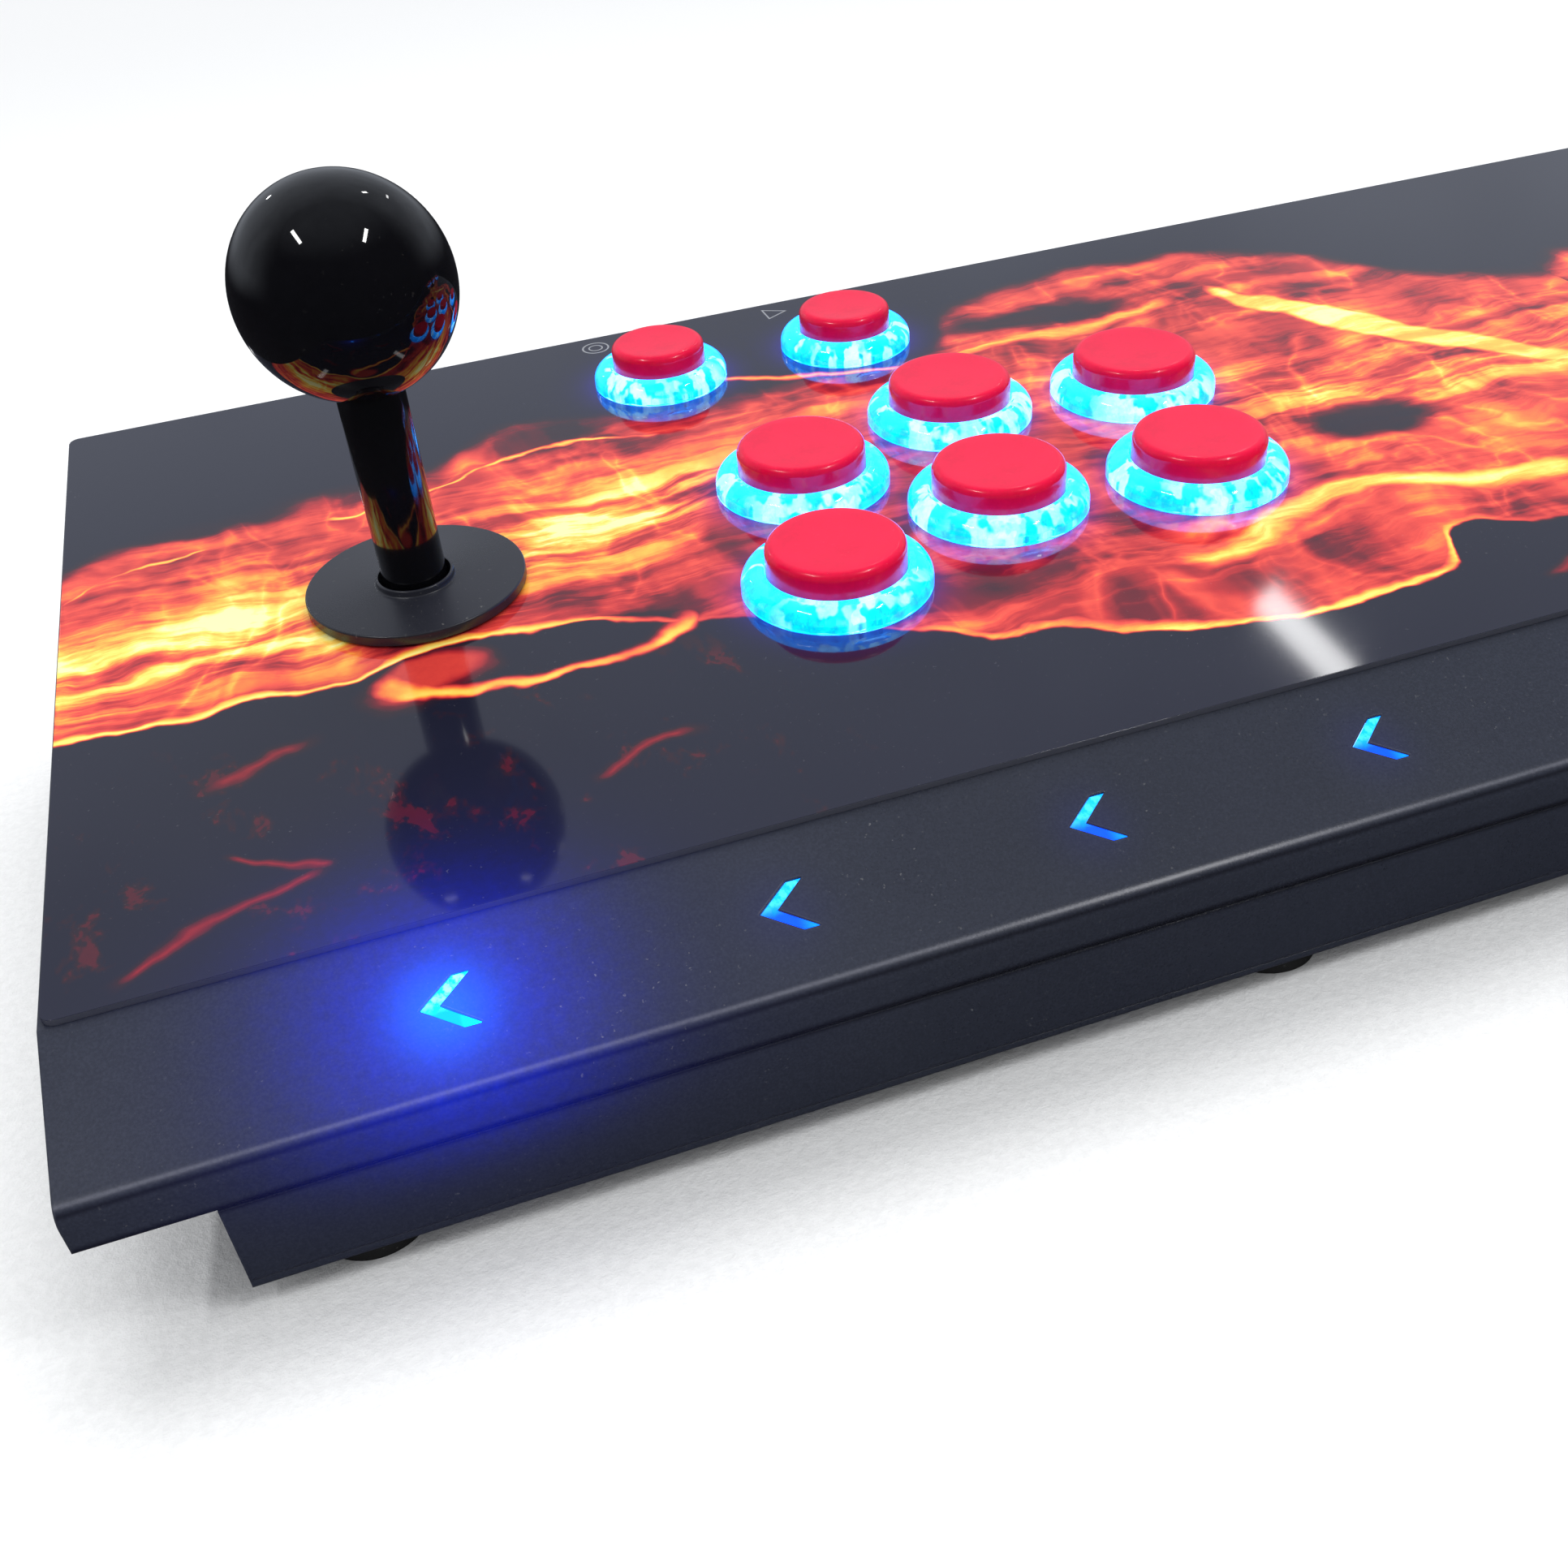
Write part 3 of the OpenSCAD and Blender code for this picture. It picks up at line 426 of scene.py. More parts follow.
# Dark hollows: middle, half width, half height and the share of heat left
HOLLOWS = ((212, 148, 26, 6, 0.2), (243, 71, 13, 9, 0.15), (20, 132, 24, 5, 0.3), (95, 137, 15, 6, 0.3),
           (93, 59, 10, 5, 0.15), (170, 88, 22, 10, 0.62), (122, 78, 9, 14, 0.6), (150, 48, 26, 9, 0.72))
# Sparks: start, end and half width
SPARKS = (((10, 5), (34, 17), 2.2), ((36, 19), (26, 25), 1.6), ((26, 44), (36, 46), 2.6),
          ((80, 22), (92, 25), 2.2), ((236, 8), (262, 20), 2.2))


def material_named(name, build, *values):
    """The material of that name, built the first time that it is asked for."""
    material = bpy.data.materials.get(name)
    if not material:
        material = bpy.data.materials.new(name)
        material.use_nodes = True
        build(Shading(material.node_tree), material.node_tree.nodes["Principled BSDF"], *values)
    return material


def rounded_normal(s, radius):
    """The surface's normal, with CAD edges rounded; pieces turned with their own edges need no rounding."""
    if not radius:
        return s.normal()
    return s.add("Bevel", {"Radius": radius * MM}, samples=4).outputs[0]


def bumped(s, height, rise, normal):
    values = {"Strength": 1.0, "Distance": rise * MM, "Height": height, "Normal": normal}
    return s.add("Bump", values).outputs[0]


def drift(s, made, low, high):
    """A value that drifts with the tone of the grain."""
    return s.ease(made["Tone"], 0.3, 0.7, low, high)


def plain_finish(s, skin, slot):
    """A finish from the table: tone that drifts, fine texture, rounded and worn edges, and dust."""
    base, metal, rough, coat, per_mm, rise, radius, wear_and_highlight, dusty = FINISHES[slot]
    spot = s.place()
    made = grain(s, spot, per_mm, 25.0)
    rounded = rounded_normal(s, radius)
    marks = dust(s, spot, dusty)
    colour = s.tinted((*base, 1), drift(s, made, 0.82, 1.15))
    bright = tuple(min(1.0, c * 1.6 + 0.05) for c in base)
    colour = s.mix(wear(s, spot, rounded, wear_and_highlight), colour, (*bright, 1))
    s.fill(skin, {
        "Base Color": s.mix(marks["Dust"], colour, (0.35, 0.34, 0.32, 1)),
        "Roughness": s.plus(drift(s, made, rough * 0.85, rough * 1.15), s.product(marks["Smear"], 0.12)),
        "Metallic": metal,
        "Specular IOR Level": 0.36 if slot == "gloss_black" else 0.5,
        "Coat Weight": coat,
        "Coat Roughness": 0.04,
        "Normal": bumped(s, made["Height"], rise, rounded),
    })


def powder_coat(s, skin):
    """Satin black powder coat, finely textured, with blue light spilt on it."""
    look = bpy.context.scene.joystick_case
    spot = s.place()
    made = grain(s, spot, 1.9, 60.0)
    rounded = rounded_normal(s, 0.6)
    marks = dust(s, spot, 0.35)
    specks = s.ease(s.noise(spot, 2.6, 1.0, 0.5), 0.35, 0.7, 0.9, 1.12)
    colour = s.tinted((*look.coat_colour, 1), s.product(drift(s, made, 0.9, 1.12), specks))
    colour = s.mix(wear(s, spot, rounded, 0.12), colour, (0.12, 0.13, 0.15, 1))
    colour = s.mix(marks["Dust"], colour, (0.3, 0.3, 0.3, 1))
    # Painted shade: the gap under the front lip is painted black, standing in for the shadow in it
    seam = s.less(s.parts(spot)[2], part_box("upper_shell")[0].z / MM)
    facing = s.ease(s.parts(s.normal())[1], -0.9, -0.5, 1.0, 0.0)
    colour = s.mix(s.product(s.near(seam, 1.3), facing, 0.85), colour, (0.002, 0.002, 0.006, 1))
    # Painted highlight: the front bend is painted bright along its top, standing in for the light it catches
    ahead = s.parts(rounded)[1]
    wear_and_highlight = s.product(s.near(s.plus(ahead, 0.64), 0.13), s.ease(made["Tone"], 0.35, 0.6, 0.55, 1.0), 0.9)
    colour = s.mix(wear_and_highlight, colour, (0.105, 0.11, 0.14, 1))
    # Painted shade: a dark band is painted just below the bend highlight
    painted_bend_shade = s.product(s.near(s.plus(ahead, 0.88), 0.08), 0.8)
    s.fill(skin, {
        "Base Color": s.mix(painted_bend_shade, colour, (0.004, 0.004, 0.008, 1)),
        "Roughness": drift(s, made, look.coat_roughness * 0.88, look.coat_roughness * 1.12),
        "Specular IOR Level": 0.4,
        "Normal": bumped(s, made["Height"], 0.012, rounded),
        "Emission Color": lamp_glow(s, 1.0),
        "Emission Strength": 1.0,
    })


def ellipse(s, x, y, cx, cy, wide, high):
    """How far out a place is from an ellipse's middle, 1 on its edge."""
    return s.length(s.math("DIVIDE", s.less(x, cx), wide), s.math("DIVIDE", s.less(y, cy), high))


def stroke(s, x, y, start, end, width):
    """1 along a straight brush stroke, falling to 0 at its width."""
    dx, dy = end[0] - start[0], end[1] - start[1]
    length = math.hypot(dx, dy)
    px, py = s.less(x, start[0]), s.less(y, start[1])
    along = s.plus(s.product(px, dx / length), s.product(py, dy / length))
    off = s.less(s.product(py, dx / length), s.product(px, dy / length))
    return s.product(s.near(off, width), s.between(along, 0.0, length, width * 2))


def fire_heat(s, spot):
    """How hot the printed flames are at each place on the deck, and how far along a player's half it is."""
    along, up, _ = s.parts(spot)
    wide_x, wide_y, wide_z = s.parts(s.noise(spot, 0.019, 3.0, 0.55, output="Color"))
    fine_x, fine_y, fine_z = s.parts(s.noise(spot, 0.06, 3.0, 0.5, output="Color"))
    half = half_length()
    x0 = s.math("FLOORED_MODULO", along, half)

    def shift(value, wide, fine):
        return s.plus(value, s.product(s.less(wide, 0.5), 16.0), s.product(s.less(fine, 0.5), 9.0))

    def across(points, top):
        """A curve along one half that ends as it starts."""
        return s.curve(x0, [*points, (half, points[0][1])], half, top)

    def lively(steady, share):
        return s.plus(steady, s.product(hair, share))

    x, y = shift(x0, wide_x, fine_x), shift(up, wide_y, fine_y)
    flat = s.vector(x, y, along)
    from_top = s.less(across(FLAME_TOP, DECK_SPAN), y)
    from_foot = s.less(y, across(FLAME_FOOT, DECK_SPAN))
    body = s.product(s.ease(from_top, -1.0, 9.0), s.ease(from_foot, -0.5, 1.6))
    # Long streaks that lean with the flames
    lean = {"Vector": flat, "Rotation": (0, 0, math.radians(-35)), "Scale": (0.13, 1.0, 0.02)}
    streaks = s.noise(s.add("Mapping", lean).outputs[0], 0.13, 7.0, 0.63, 0.15)
    hair = s.ease(streaks, 0.36, 0.64)
    slow = s.ease(s.noise(flat, 0.04, 3.0, 0.5), 0.32, 0.68, -0.12, 0.09)
    curls = s.product(s.less(s.noise(flat, 0.03, 3.0, 0.5, 0.8), 0.5), 9.0)
    threads = s.math("POWER", s.math("SUBTRACT", 1.0, s.math("ABSOLUTE", curls), clamp=True), 2.0)
    # The hottest part runs through the stick, dims among the buttons and swells on the right
    core = s.product(s.near(s.less(y, across(CORE_LINE, DECK_SPAN)), 27.0), across(CORE_HEAT, 1))
    knot = s.product(s.ease(ellipse(s, x, y, 96.0, 98.0, 17.0, 14.0), 0.2, 1.1, 1.0, 0.0), 0.3)
    heat = s.plus(0.392, slow, s.product(s.less(hair, 0.5), 0.24))
    heat = s.plus(heat, s.product(core, lively(0.05, 0.46)), knot, s.product(threads, 0.16))
    for cx, cy, wide, high, left in HOLLOWS:
        heat = s.product(heat, s.ease(ellipse(s, x, y, cx, cy, wide, high), 0.5, 1.3, left, 1.0))
    heat = s.product(heat, body)
    # Bright crescent at the right
    crescent_x = s.curve(y, CRESCENT_LINE, DECK_SPAN, 400)
    crescent_wide = s.curve(y, CRESCENT_WIDTH, DECK_SPAN, 20)
    inside = s.less(crescent_wide, s.math("ABSOLUTE", s.less(x, crescent_x)))
    crescent = s.product(s.ease(inside, 0.0, 5.0), lively(0.74, 0.26))
    # Wisps, and flames that burn brighter along their feet
    arc_y = s.plus(134.5, s.product(s.less(x0, 185.0), 0.13))
    arc = s.product(s.near(s.less(y, arc_y), 5.0), s.between(x0, 182, 236, 12.0), lively(0.66, 0.3))
    wisp_y = s.less(147.0, s.product(s.less(x0, 135.0), 0.32))
    wisp = s.product(s.near(s.less(y, wisp_y), 2.4), s.between(x0, 138, 170, 8.0), 0.72)
    pale_off = s.less(s.less(from_top, 9.0), s.product(wide_z, 8.0))
    pale = s.product(s.near(pale_off, 1.3), s.between(x0, 5, 112, 12.0), s.ease(fine_z, 0.35, 0.6, 0.5, 0.86))
    foot = s.product(
        s.ease(from_foot, -0.3, 1.0),
        s.ease(from_foot, 1.0, s.ease(fine_x, 0.3, 0.7, 2.2, 7.0), 1.0, 0.0),
        across(FOOT_HEAT, 1),
        s.ease(streaks, 0.3, 0.55, 0.72, 1.0),
    )
    low_y = s.plus(43.0, s.product(s.math("SINE", s.math("DIVIDE", x0, 11.0)), 4.0))
    low = s.product(s.near(s.less(y, low_y), 8.0), s.between(x0, 190, 262, 14.0), lively(0.6, 0.36))
    # Below the stick: a swoosh, a blush in the black, embers and sparks
    ring = ellipse(s, x, y, 76.0, 59.5, 27.0, 11.0)
    band = s.product(s.ease(ring, 0.74, 0.94), s.ease(ring, 0.97, 1.1, 1.0, 0.0))
    swoosh = s.product(band, s.ease(y, 57.0, 64.0, 1.0, 0.0), s.ease(fine_x, 0.3, 0.6, 0.58, 0.82))
    blush = s.product(s.ease(ellipse(s, x, y, 58.0, 57.0, 12.0, 8.0), 0.5, 1.1, 1.0, 0.0), 0.44)
    scattered = s.ease(s.noise(flat, 0.07, 4.0, 0.7), 0.56, 0.66)
    embers = s.product(scattered, s.ease(y, 46.0, 58.0, 1.0, 0.0), s.ease(x0, 100.0, 130.0, 1.0, 0.0), 0.17)
    sparks = s.product(s.largest(*[stroke(s, x, y, *spark) for spark in SPARKS]), 0.29)
    heat = s.largest(heat, crescent, arc, wisp, pale, foot, low, swoosh, blush, embers, sparks)
    mottle = s.less(s.noise(spot, 0.5, 4.0, 0.7), 0.5)
    return s.math("ADD", heat, s.product(mottle, s.product(heat, 0.16)), clamp=True), x0


def rim_halo(s, x0, y):
    """Light spilt on the deck close round each lit rim."""
    nearest = None
    for plunger in PLUNGERS:
        cx, cy, radius = plunger_facts("left_" + plunger)[:3]
        gap = s.less(ellipse(s, x0, y, cx / MM, cy / MM, 1.0, 1.0), radius + RIM_GAP + RIM_WIDTH)
        nearest = gap if nearest is None else s.math("MINIMUM", nearest, gap)
    return s.math("EXPONENT", s.product(s.math("MAXIMUM", nearest, 0.0), -0.42))


def print_marks(s, spot, x0):
    """Plain outline marks beside the two small buttons: a round token and a triangle."""
    up = plunger_facts("left_coin_plunger")[1] / MM + 24.0
    token_x, triangle_x = (plunger_facts("left_" + n)[0] / MM - 9.0 for n in ("coin_plunger", "start_plunger"))
    dy = s.less(s.parts(spot)[1], up)
    reach = s.length(s.less(x0, token_x), dy)
    token = s.largest(s.near(s.less(reach, 2.9), 0.32), s.near(s.less(reach, 1.5), 0.28))
    tx = s.less(x0, triangle_x)
    slant = s.less(s.plus(s.product(tx, 0.5), s.product(s.math("ABSOLUTE", dy), 0.866)), 1.6)
    edge = s.largest(slant, s.less(s.product(tx, -1.0), 1.6))
    return s.largest(token, s.near(edge, 0.3))


def printed_cover(s, skin):
    """Glossy print of plain flames on black."""
    look = bpy.context.scene.joystick_cover
    spot = s.place(DECK)
    heat, x0 = fire_heat(s, spot)
    colour = s.ramp(heat, [
        (0.0, tuple(look.ground_colour)), (0.12, (0.025, 0.012, 0.02)), (0.26, (0.14, 0.01, 0.02)),
        (0.38, tuple(look.ember_colour)), (0.52, (0.78, 0.075, 0.05)), (0.64, (0.9, 0.22, 0.045)),
        (0.78, tuple(look.flame_colour)), (0.9, (1.0, 0.78, 0.16)), (1.0, (1.0, 0.92, 0.42)),
    ])
    colour = s.mix(s.product(print_marks(s, spot, x0), 0.55), colour, (0.55, 0.57, 0.6, 1))
    marks = dust(s, spot, 0.3)
    colour = s.mix(s.product(marks["Dust"], 0.5), colour, (0.4, 0.4, 0.42, 1))
    # Painted light: the cover's forward-facing edge is painted lighter, standing in for light on it, and made
    # rougher
    painted_light_edge = s.ease(s.parts(s.normal("True Normal"))[1], -0.8, -0.5, 1.0, 0.0)
    halo = rim_halo(s, x0, s.parts(spot)[1])
    spilt = s.vector(s.product(halo, 0.012), s.product(halo, 0.004), s.product(halo, 0.16))
    s.fill(skin, {
        "Base Color": s.mix(painted_light_edge, colour, (0.05, 0.054, 0.075, 1)),
        "Roughness": s.plus(look.gloss_roughness, s.product(marks["Smear"], 0.07), s.product(painted_light_edge, 0.4)),
        "Normal": bumped(s, s.noise(spot, 0.012, 2.0, 0.5), 0.05, rounded_normal(s, 0.3)),
        "Emission Color": s.mix(1.0, lamp_glow(s, 0.8), spilt, "ADD"),
        "Emission Strength": 1.0,
    })


def red_plastic(s, skin):
    """Opaque red moulding, with a faint swirl in its colour and rub marks on its face."""
    look = bpy.context.scene.joystick_buttons
    spot = s.place()
    made = grain(s, spot, 1.2, 9.0)
    colour = s.tinted((*look.plunger_colour, 1), drift(s, made, 0.9, 1.08))
    marks = dust(s, spot, 0.25)
    s.fill(skin, {
        "Base Color": s.mix(s.product(marks["Dust"], 0.4), colour, (0.8, 0.5, 0.5, 1)),
        "Roughness": s.plus(0.2, s.product(marks["Smear"], 0.3)),
        "Specular IOR Level": 0.22,
        "Coat Weight": 0.22,
        "Coat Roughness": 0.04,
        "Subsurface Weight": 0.12,
        "Subsurface Radius": (0.002, 0.0004, 0.0004),
        "Normal": bumped(s, made["Height"], 0.004, s.normal()),
    })


def make_lamp_patches(name):
    """White-hot patches round a ring, with blue towards its outer edge."""
    tree, s, given, out = new_group(
        name,
        [("Position", "Vector", None), ("Lamp Colour", "Color", (0, 0.25, 1, 1)), ("Shift", "Float", 0.0),
         ("Edge From mm", "Float", 12.5), ("Edge To mm", "Float", 15.5), ("White Amount", "Float", 1.0)],
        [("Colour", "Color")],
    )
    x, y, _ = s.parts(given["Position"])
    turn = s.math("ARCTAN2", y, x)
    reach = s.length(x, y)
    place = s.vector(s.plus(s.product(s.math("COSINE", turn), 1.7), given["Shift"]),
                     s.product(s.math("SINE", turn), 1.7), s.product(reach, 0.16))
    patches = s.ease(s.noise(place, 1.15, 3.0, 0.55), 0.56, 0.6)
    front = s.near(s.plus(s.math("SINE", turn), 0.8), 0.45)
    ahead = s.product(front, s.ease(s.noise(place, 2.3, 2.0), 0.46, 0.54), 0.85)
    white = s.math("MINIMUM", s.plus(patches, ahead), 1.0)
    edge = s.ease(reach, given["Edge From mm"], given["Edge To mm"])
    glint = s.ease(s.noise(given["Position"], 0.45, 4.0, 0.7), 0.36, 0.6, 0.62, 1.0)
    colour = s.mix(s.product(white, given["White Amount"]), given["Lamp Colour"], (0.3, 0.6, 1.0, 1))
    blue = s.mix(1.0, given["Lamp Colour"], (0.02, 0.24, 0.32, 1), "MULTIPLY")
    s.put(out["Colour"], s.tinted(s.mix(edge, colour, blue), glint))
    return tree


def lamp_patches(s, edge_from, edge_to, white=1.0):
    look = bpy.context.scene.joystick_buttons
    values = {"Position": s.place(), "Lamp Colour": (*look.light_colour, 1)}
    values.update({"Edge From mm": edge_from, "Edge To mm": edge_to, "White Amount": white})
    values["Shift"] = s.product(s.add("ObjectInfo").outputs["Random"], 40.0)
    return s.group(group_named("Lamp Patches", make_lamp_patches), values)["Colour"]


def clear_rim(s, skin, outer):
    """Clear moulded plastic that carries the lamp's light to its edges."""
    made = grain(s, s.place(), 0.5, 6.0)
    s.fill(skin, {
        "Base Color": (0.5, 0.95, 1.0, 1),
        "Roughness": drift(s, made, 0.03, 0.08),
        "Transmission Weight": 1.0,
        "IOR": 1.49,
        "Emission Color": lamp_patches(s, outer - 2.4, outer + 0.3, 0.05),
        "Emission Strength": bpy.context.scene.joystick_buttons.rim_glow,
        "Normal": bumped(s, made["Height"], 0.02, s.normal()),
    })


def light_guide(s, skin, outer):
    """The lit ring inside a rim: blue light, with white patches where the lamps sit."""
    lit = lamp_patches(s, outer - 1.6, outer + 0.6)
    s.fill(skin, {
        "Base Color": s.mix(0.9, lit, (0.0, 0.02, 0.05, 1)),
        "Emission Color": lit,
        "Emission Strength": bpy.context.scene.joystick_buttons.light_strength,
        "Roughness": 0.2,
    })


def glowing(s, skin, colour, strength, roughness):
    s.fill(skin, {"Base Color": colour, "Emission Color": colour, "Emission Strength": strength})
    s.fill(skin, {"Roughness": roughness})


def lit_finish(s, skin, colour, strength):
    """A lamp lens or lit acrylic, paler in the middle of its light."""
    cloud = s.ease(s.noise(s.place(), 0.25, 3.0, 0.6), 0.3, 0.7)
    pale = tuple(min(1, c * 0.6 + 0.4) for c in colour)
    glowing(s, skin, s.mix(cloud, (*colour, 1), (*pale, 1)), strength, 0.25)


def chevron_lens(s, skin, strength):
    """Acrylic arrow, brightest along its upper arm and deep blue at the foot of the lower one."""
    spot = s.place()
    x, y, _ = s.parts(spot)
    cloud = s.noise(spot, 0.7, 3.0, 0.6)
    side = s.ease(s.plus(y, s.product(s.less(cloud, 0.5), 1.6)), -1.2, 1.6)
    upper = s.mix(s.ease(cloud, 0.4, 0.6), (0.03, 0.38, 1.0, 1), (0.0, 0.26, 1.0, 1))
    lower = s.mix(s.ease(x, 4.4, 7.0), (0.0, 0.045, 0.7, 1), (0.0, 0.16, 1.0, 1))
    glowing(s, skin, s.mix(side, lower, upper), strength, 0.15)


def green_board(s, skin):
    """Solder resist with buried tracks and tinned pads."""
    spot = s.place()
    tracks = s.add("TexBrick", {"Vector": spot, "Scale": 0.16, "Mortar Size": 0.05}).outputs["Fac"]
    pads = s.add("TexVoronoi", {"Vector": spot, "Scale": 0.22}).outputs["Distance"]
    colour = s.mix(tracks, (0.01, 0.1, 0.04, 1), (0.03, 0.2, 0.08, 1))
    s.fill(skin, {
        "Base Color": s.mix(s.ease(pads, 0.1, 0.14, 1.0, 0.0), colour, (0.6, 0.6, 0.58, 1)),
        "Roughness": drift(s, grain(s, spot, 2.0, 20.0), 0.25, 0.4),
    })


BUILDERS = {"black_powder_coat": powder_coat, "printed_cover": printed_cover, "red_plastic": red_plastic,
            "green_board": green_board}


def finish(slot):
    if slot in BUILDERS:
        return material_named(slot, BUILDERS[slot])
    if slot in LIT:
        return material_named(slot, lit_finish, *LIT[slot])
    return material_named(slot, plain_finish, slot)


def coat_nodes(names):
    """Gives CAD nodes the finish of their own slot."""
    slots = {part["node"]: part["material_slot"] for part in frame["record"]["subparts"]}
    for name in names:
        mesh = NODES[name].data
        mesh.materials.clear()
        mesh.materials.append(finish(slots[name]))


# ---- Fine pieces ----


def keep(name, mesh, axes, material, body, stands_for=(), smooth=35.0):
    """Puts a finished mesh in the scene on its body."""
    mesh.polygons.foreach_set("use_smooth", [True] * len(mesh.polygons))
    mesh.set_sharp_from_angle(angle=math.radians(smooth))
    mesh.materials.append(material)
    piece = bpy.data.objects.new(name, mesh)
    bpy.context.scene.collection.objects.link(piece)
    piece.matrix_world = axes
    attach(piece, body)
    if stands_for:
        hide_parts(*stands_for)
    return piece


def mesh_from(bm, name):
    """The finished mesh, with its faces turned outwards."""
    bmesh.ops.recalc_face_normals(bm, faces=bm.faces)
    mesh = bpy.data.meshes.new(name)
    bm.to_mesh(mesh)
    bm.free()
    return mesh


def turned(name, profile, steps=96, reshape=None, extra=None):
    """A mesh turned about Z from (radius, height) points in millimetres."""
    bm = bmesh.new()
    rings = []
    for r, z in profile:
        if r < 1e-6:
            rings.append([bm.verts.new((0, 0, z * MM))])
            continue
        ring = []
        for k in range(steps):
            a = 2 * math.pi * k / steps
            rr, zz = reshape(r, z, a) if reshape else (r, z)
            ring.append(bm.verts.new((rr * math.cos(a) * MM, rr * math.sin(a) * MM, zz * MM)))
        rings.append(ring)
    for low, high in zip(rings, rings[1:] + rings[:1]):
        if len(low) == 1 and len(high) == 1:
            continue
        for k in range(steps):
            n = (k + 1) % steps
            corners = [low[k % len(low)], low[n % len(low)], high[n % len(high)], high[k % len(high)]]
            bm.faces.new(list(dict.fromkeys(corners)))
    if extra:
        extra(bm)
    return mesh_from(bm, name)


def bend(cx, cy, r, start, end, steps):
    """Points round an arc, angles in degrees."""
    angles = [math.radians(start + (end - start) * k / steps) for k in range(steps + 1)]
    return [(cx + r * math.cos(a), cy + r * math.sin(a)) for a in angles]


def add_block(bm, low, high):
    """A box with its corners in millimetres."""
    for v in bmesh.ops.create_cube(bm, size=1.0)["verts"]:
        v.co = Vector([(low[i] + (high[i] - low[i]) * (v.co[i] + 0.5)) * MM for i in range(3)])


def plunger_facts(node):
    """Where a plunger stands on the deck, and its radius, top and foot in millimetres."""
    low, high = box_in(DECK, node)
    middle = (low + high) / 2
    return middle.x, middle.y, (high.x - low.x) / 2 / MM, high.z / MM, low.z / MM


def rim_profile(inner, outer):
    """Section of a rim: threaded barrel, flange and domed face, in millimetres."""
    barrel = inner + 1.45
    root = barrel - 0.28
    crown = inner + 0.75
    pitch, turns, steps = 2.0, 9, 14
    thread = []
    for k in range(turns):
        z = -21.6 + pitch * k
        thread += [(root, z), (barrel, z + 0.7), (barrel, z + 1.0), (root, z + 1.6)]
    dome = [(crown + (outer - crown) * math.cos(a), 1.5 + 3.0 * math.sin(a))
            for a in [math.radians(90 * k / steps) for k in range(1, steps + 1)]]
    flange = [(barrel, -2.5), (barrel, 0.06), (outer - 0.3, 0.06), (outer, 0.35), (outer, 1.35)]
    bore = [(inner, 2.0), (inner + 0.25, 1.6), (inner + 0.25, -2.0), (inner, -2.4)]
    lip = bend(inner + 0.5, 4.0, 0.5, 80, 180, 5)
    return [(inner, -22.0), (barrel - 0.3, -22.0)] + thread + flange + dome + lip + bore


def ring_guide(name, inner, outer):
    """Lit ring of wedge facets that sits inside a rim."""
    wedges = 26

    def facet(r, z, a):
        k = int(round(a / (2 * math.pi) * wedges * 2)) % 2
        if r > inner + 1.2:
            return r - (0.5 if k else 0.0), z
        return r, z + (0.35 if k and z > 1 else 0.0)

    profile = [(inner + 0.55, 0.25), (outer - 0.7, 0.25), (outer - 0.75, 1.35), (outer - 1.9, 2.5),
               (inner + 1.1, 3.25), (inner + 0.55, 3.2)]
    return turned(name, profile, steps=wedges * 2, reshape=facet)


class JOYSTICK_OT_buttons(bpy.types.Operator):
    """Clear rims with lit rings, and red plungers, for both players"""

    bl_idname = "joystick.buttons"
    bl_label = "Push Buttons"

    def execute(self, context):
        coat_nodes(["lamp_leds", "button_nuts", "switch_holders", "microswitches"])
        for side in SIDES:
            for plunger in PLUNGERS:
                self.make(side + "_" + plunger)
        return {"FINISHED"}

    def make(self, node):
        x, y, radius, top, foot = plunger_facts(node)
        inner = radius + RIM_GAP
        outer = inner + RIM_WIDTH
        size = round(outer * 10)
        axes = at_deck(x, y)
        notch = math.radians(8.5)

        def reshape(r, z, a):
            front = abs((a - 1.5 * math.pi + math.pi) % (2 * math.pi) - math.pi) < notch
            return (r - 0.9, z) if front and r > outer - 0.6 and 0.2 < z < 2.0 else (r, z)

        rim = turned(node + "_rim", rim_profile(inner, outer), reshape=reshape)
        clear = material_named("clear_rim_%d" % size, clear_rim, outer)
        keep(node + "_rim", rim, axes, clear, "case", ["button_rims"], 28.0)
        guide = ring_guide(node + "_light_ring", inner, outer)
        lit = material_named("light_guide_%d" % size, light_guide, outer)
        keep(node + "_light_ring", guide, axes, lit, "case", smooth=5.0)
        edge, wall, face, skirt = 1.6, 1.6, 2.6, -10.0
        hollow = [(radius * 0.7, top - 0.12), (radius * 0.35, top - 0.2), (0, top - 0.22)]
        profile = ([(radius - wall, skirt), (radius, skirt), (radius, top - edge)]
                   + bend(radius - edge, top - edge, edge, 0, 90, 8)[1:]
                   + hollow + [(0, top - face), (radius - wall, top - face)])

        def leg(bm):
            add_block(bm, (-1.5, -radius + 0.05, foot), (1.5, -radius + 1.45, -9.0))

        mesh = turned(node + "_cap", profile, extra=leg)
        keep(node + "_cap", mesh, axes, finish("red_plastic"), node, [node])


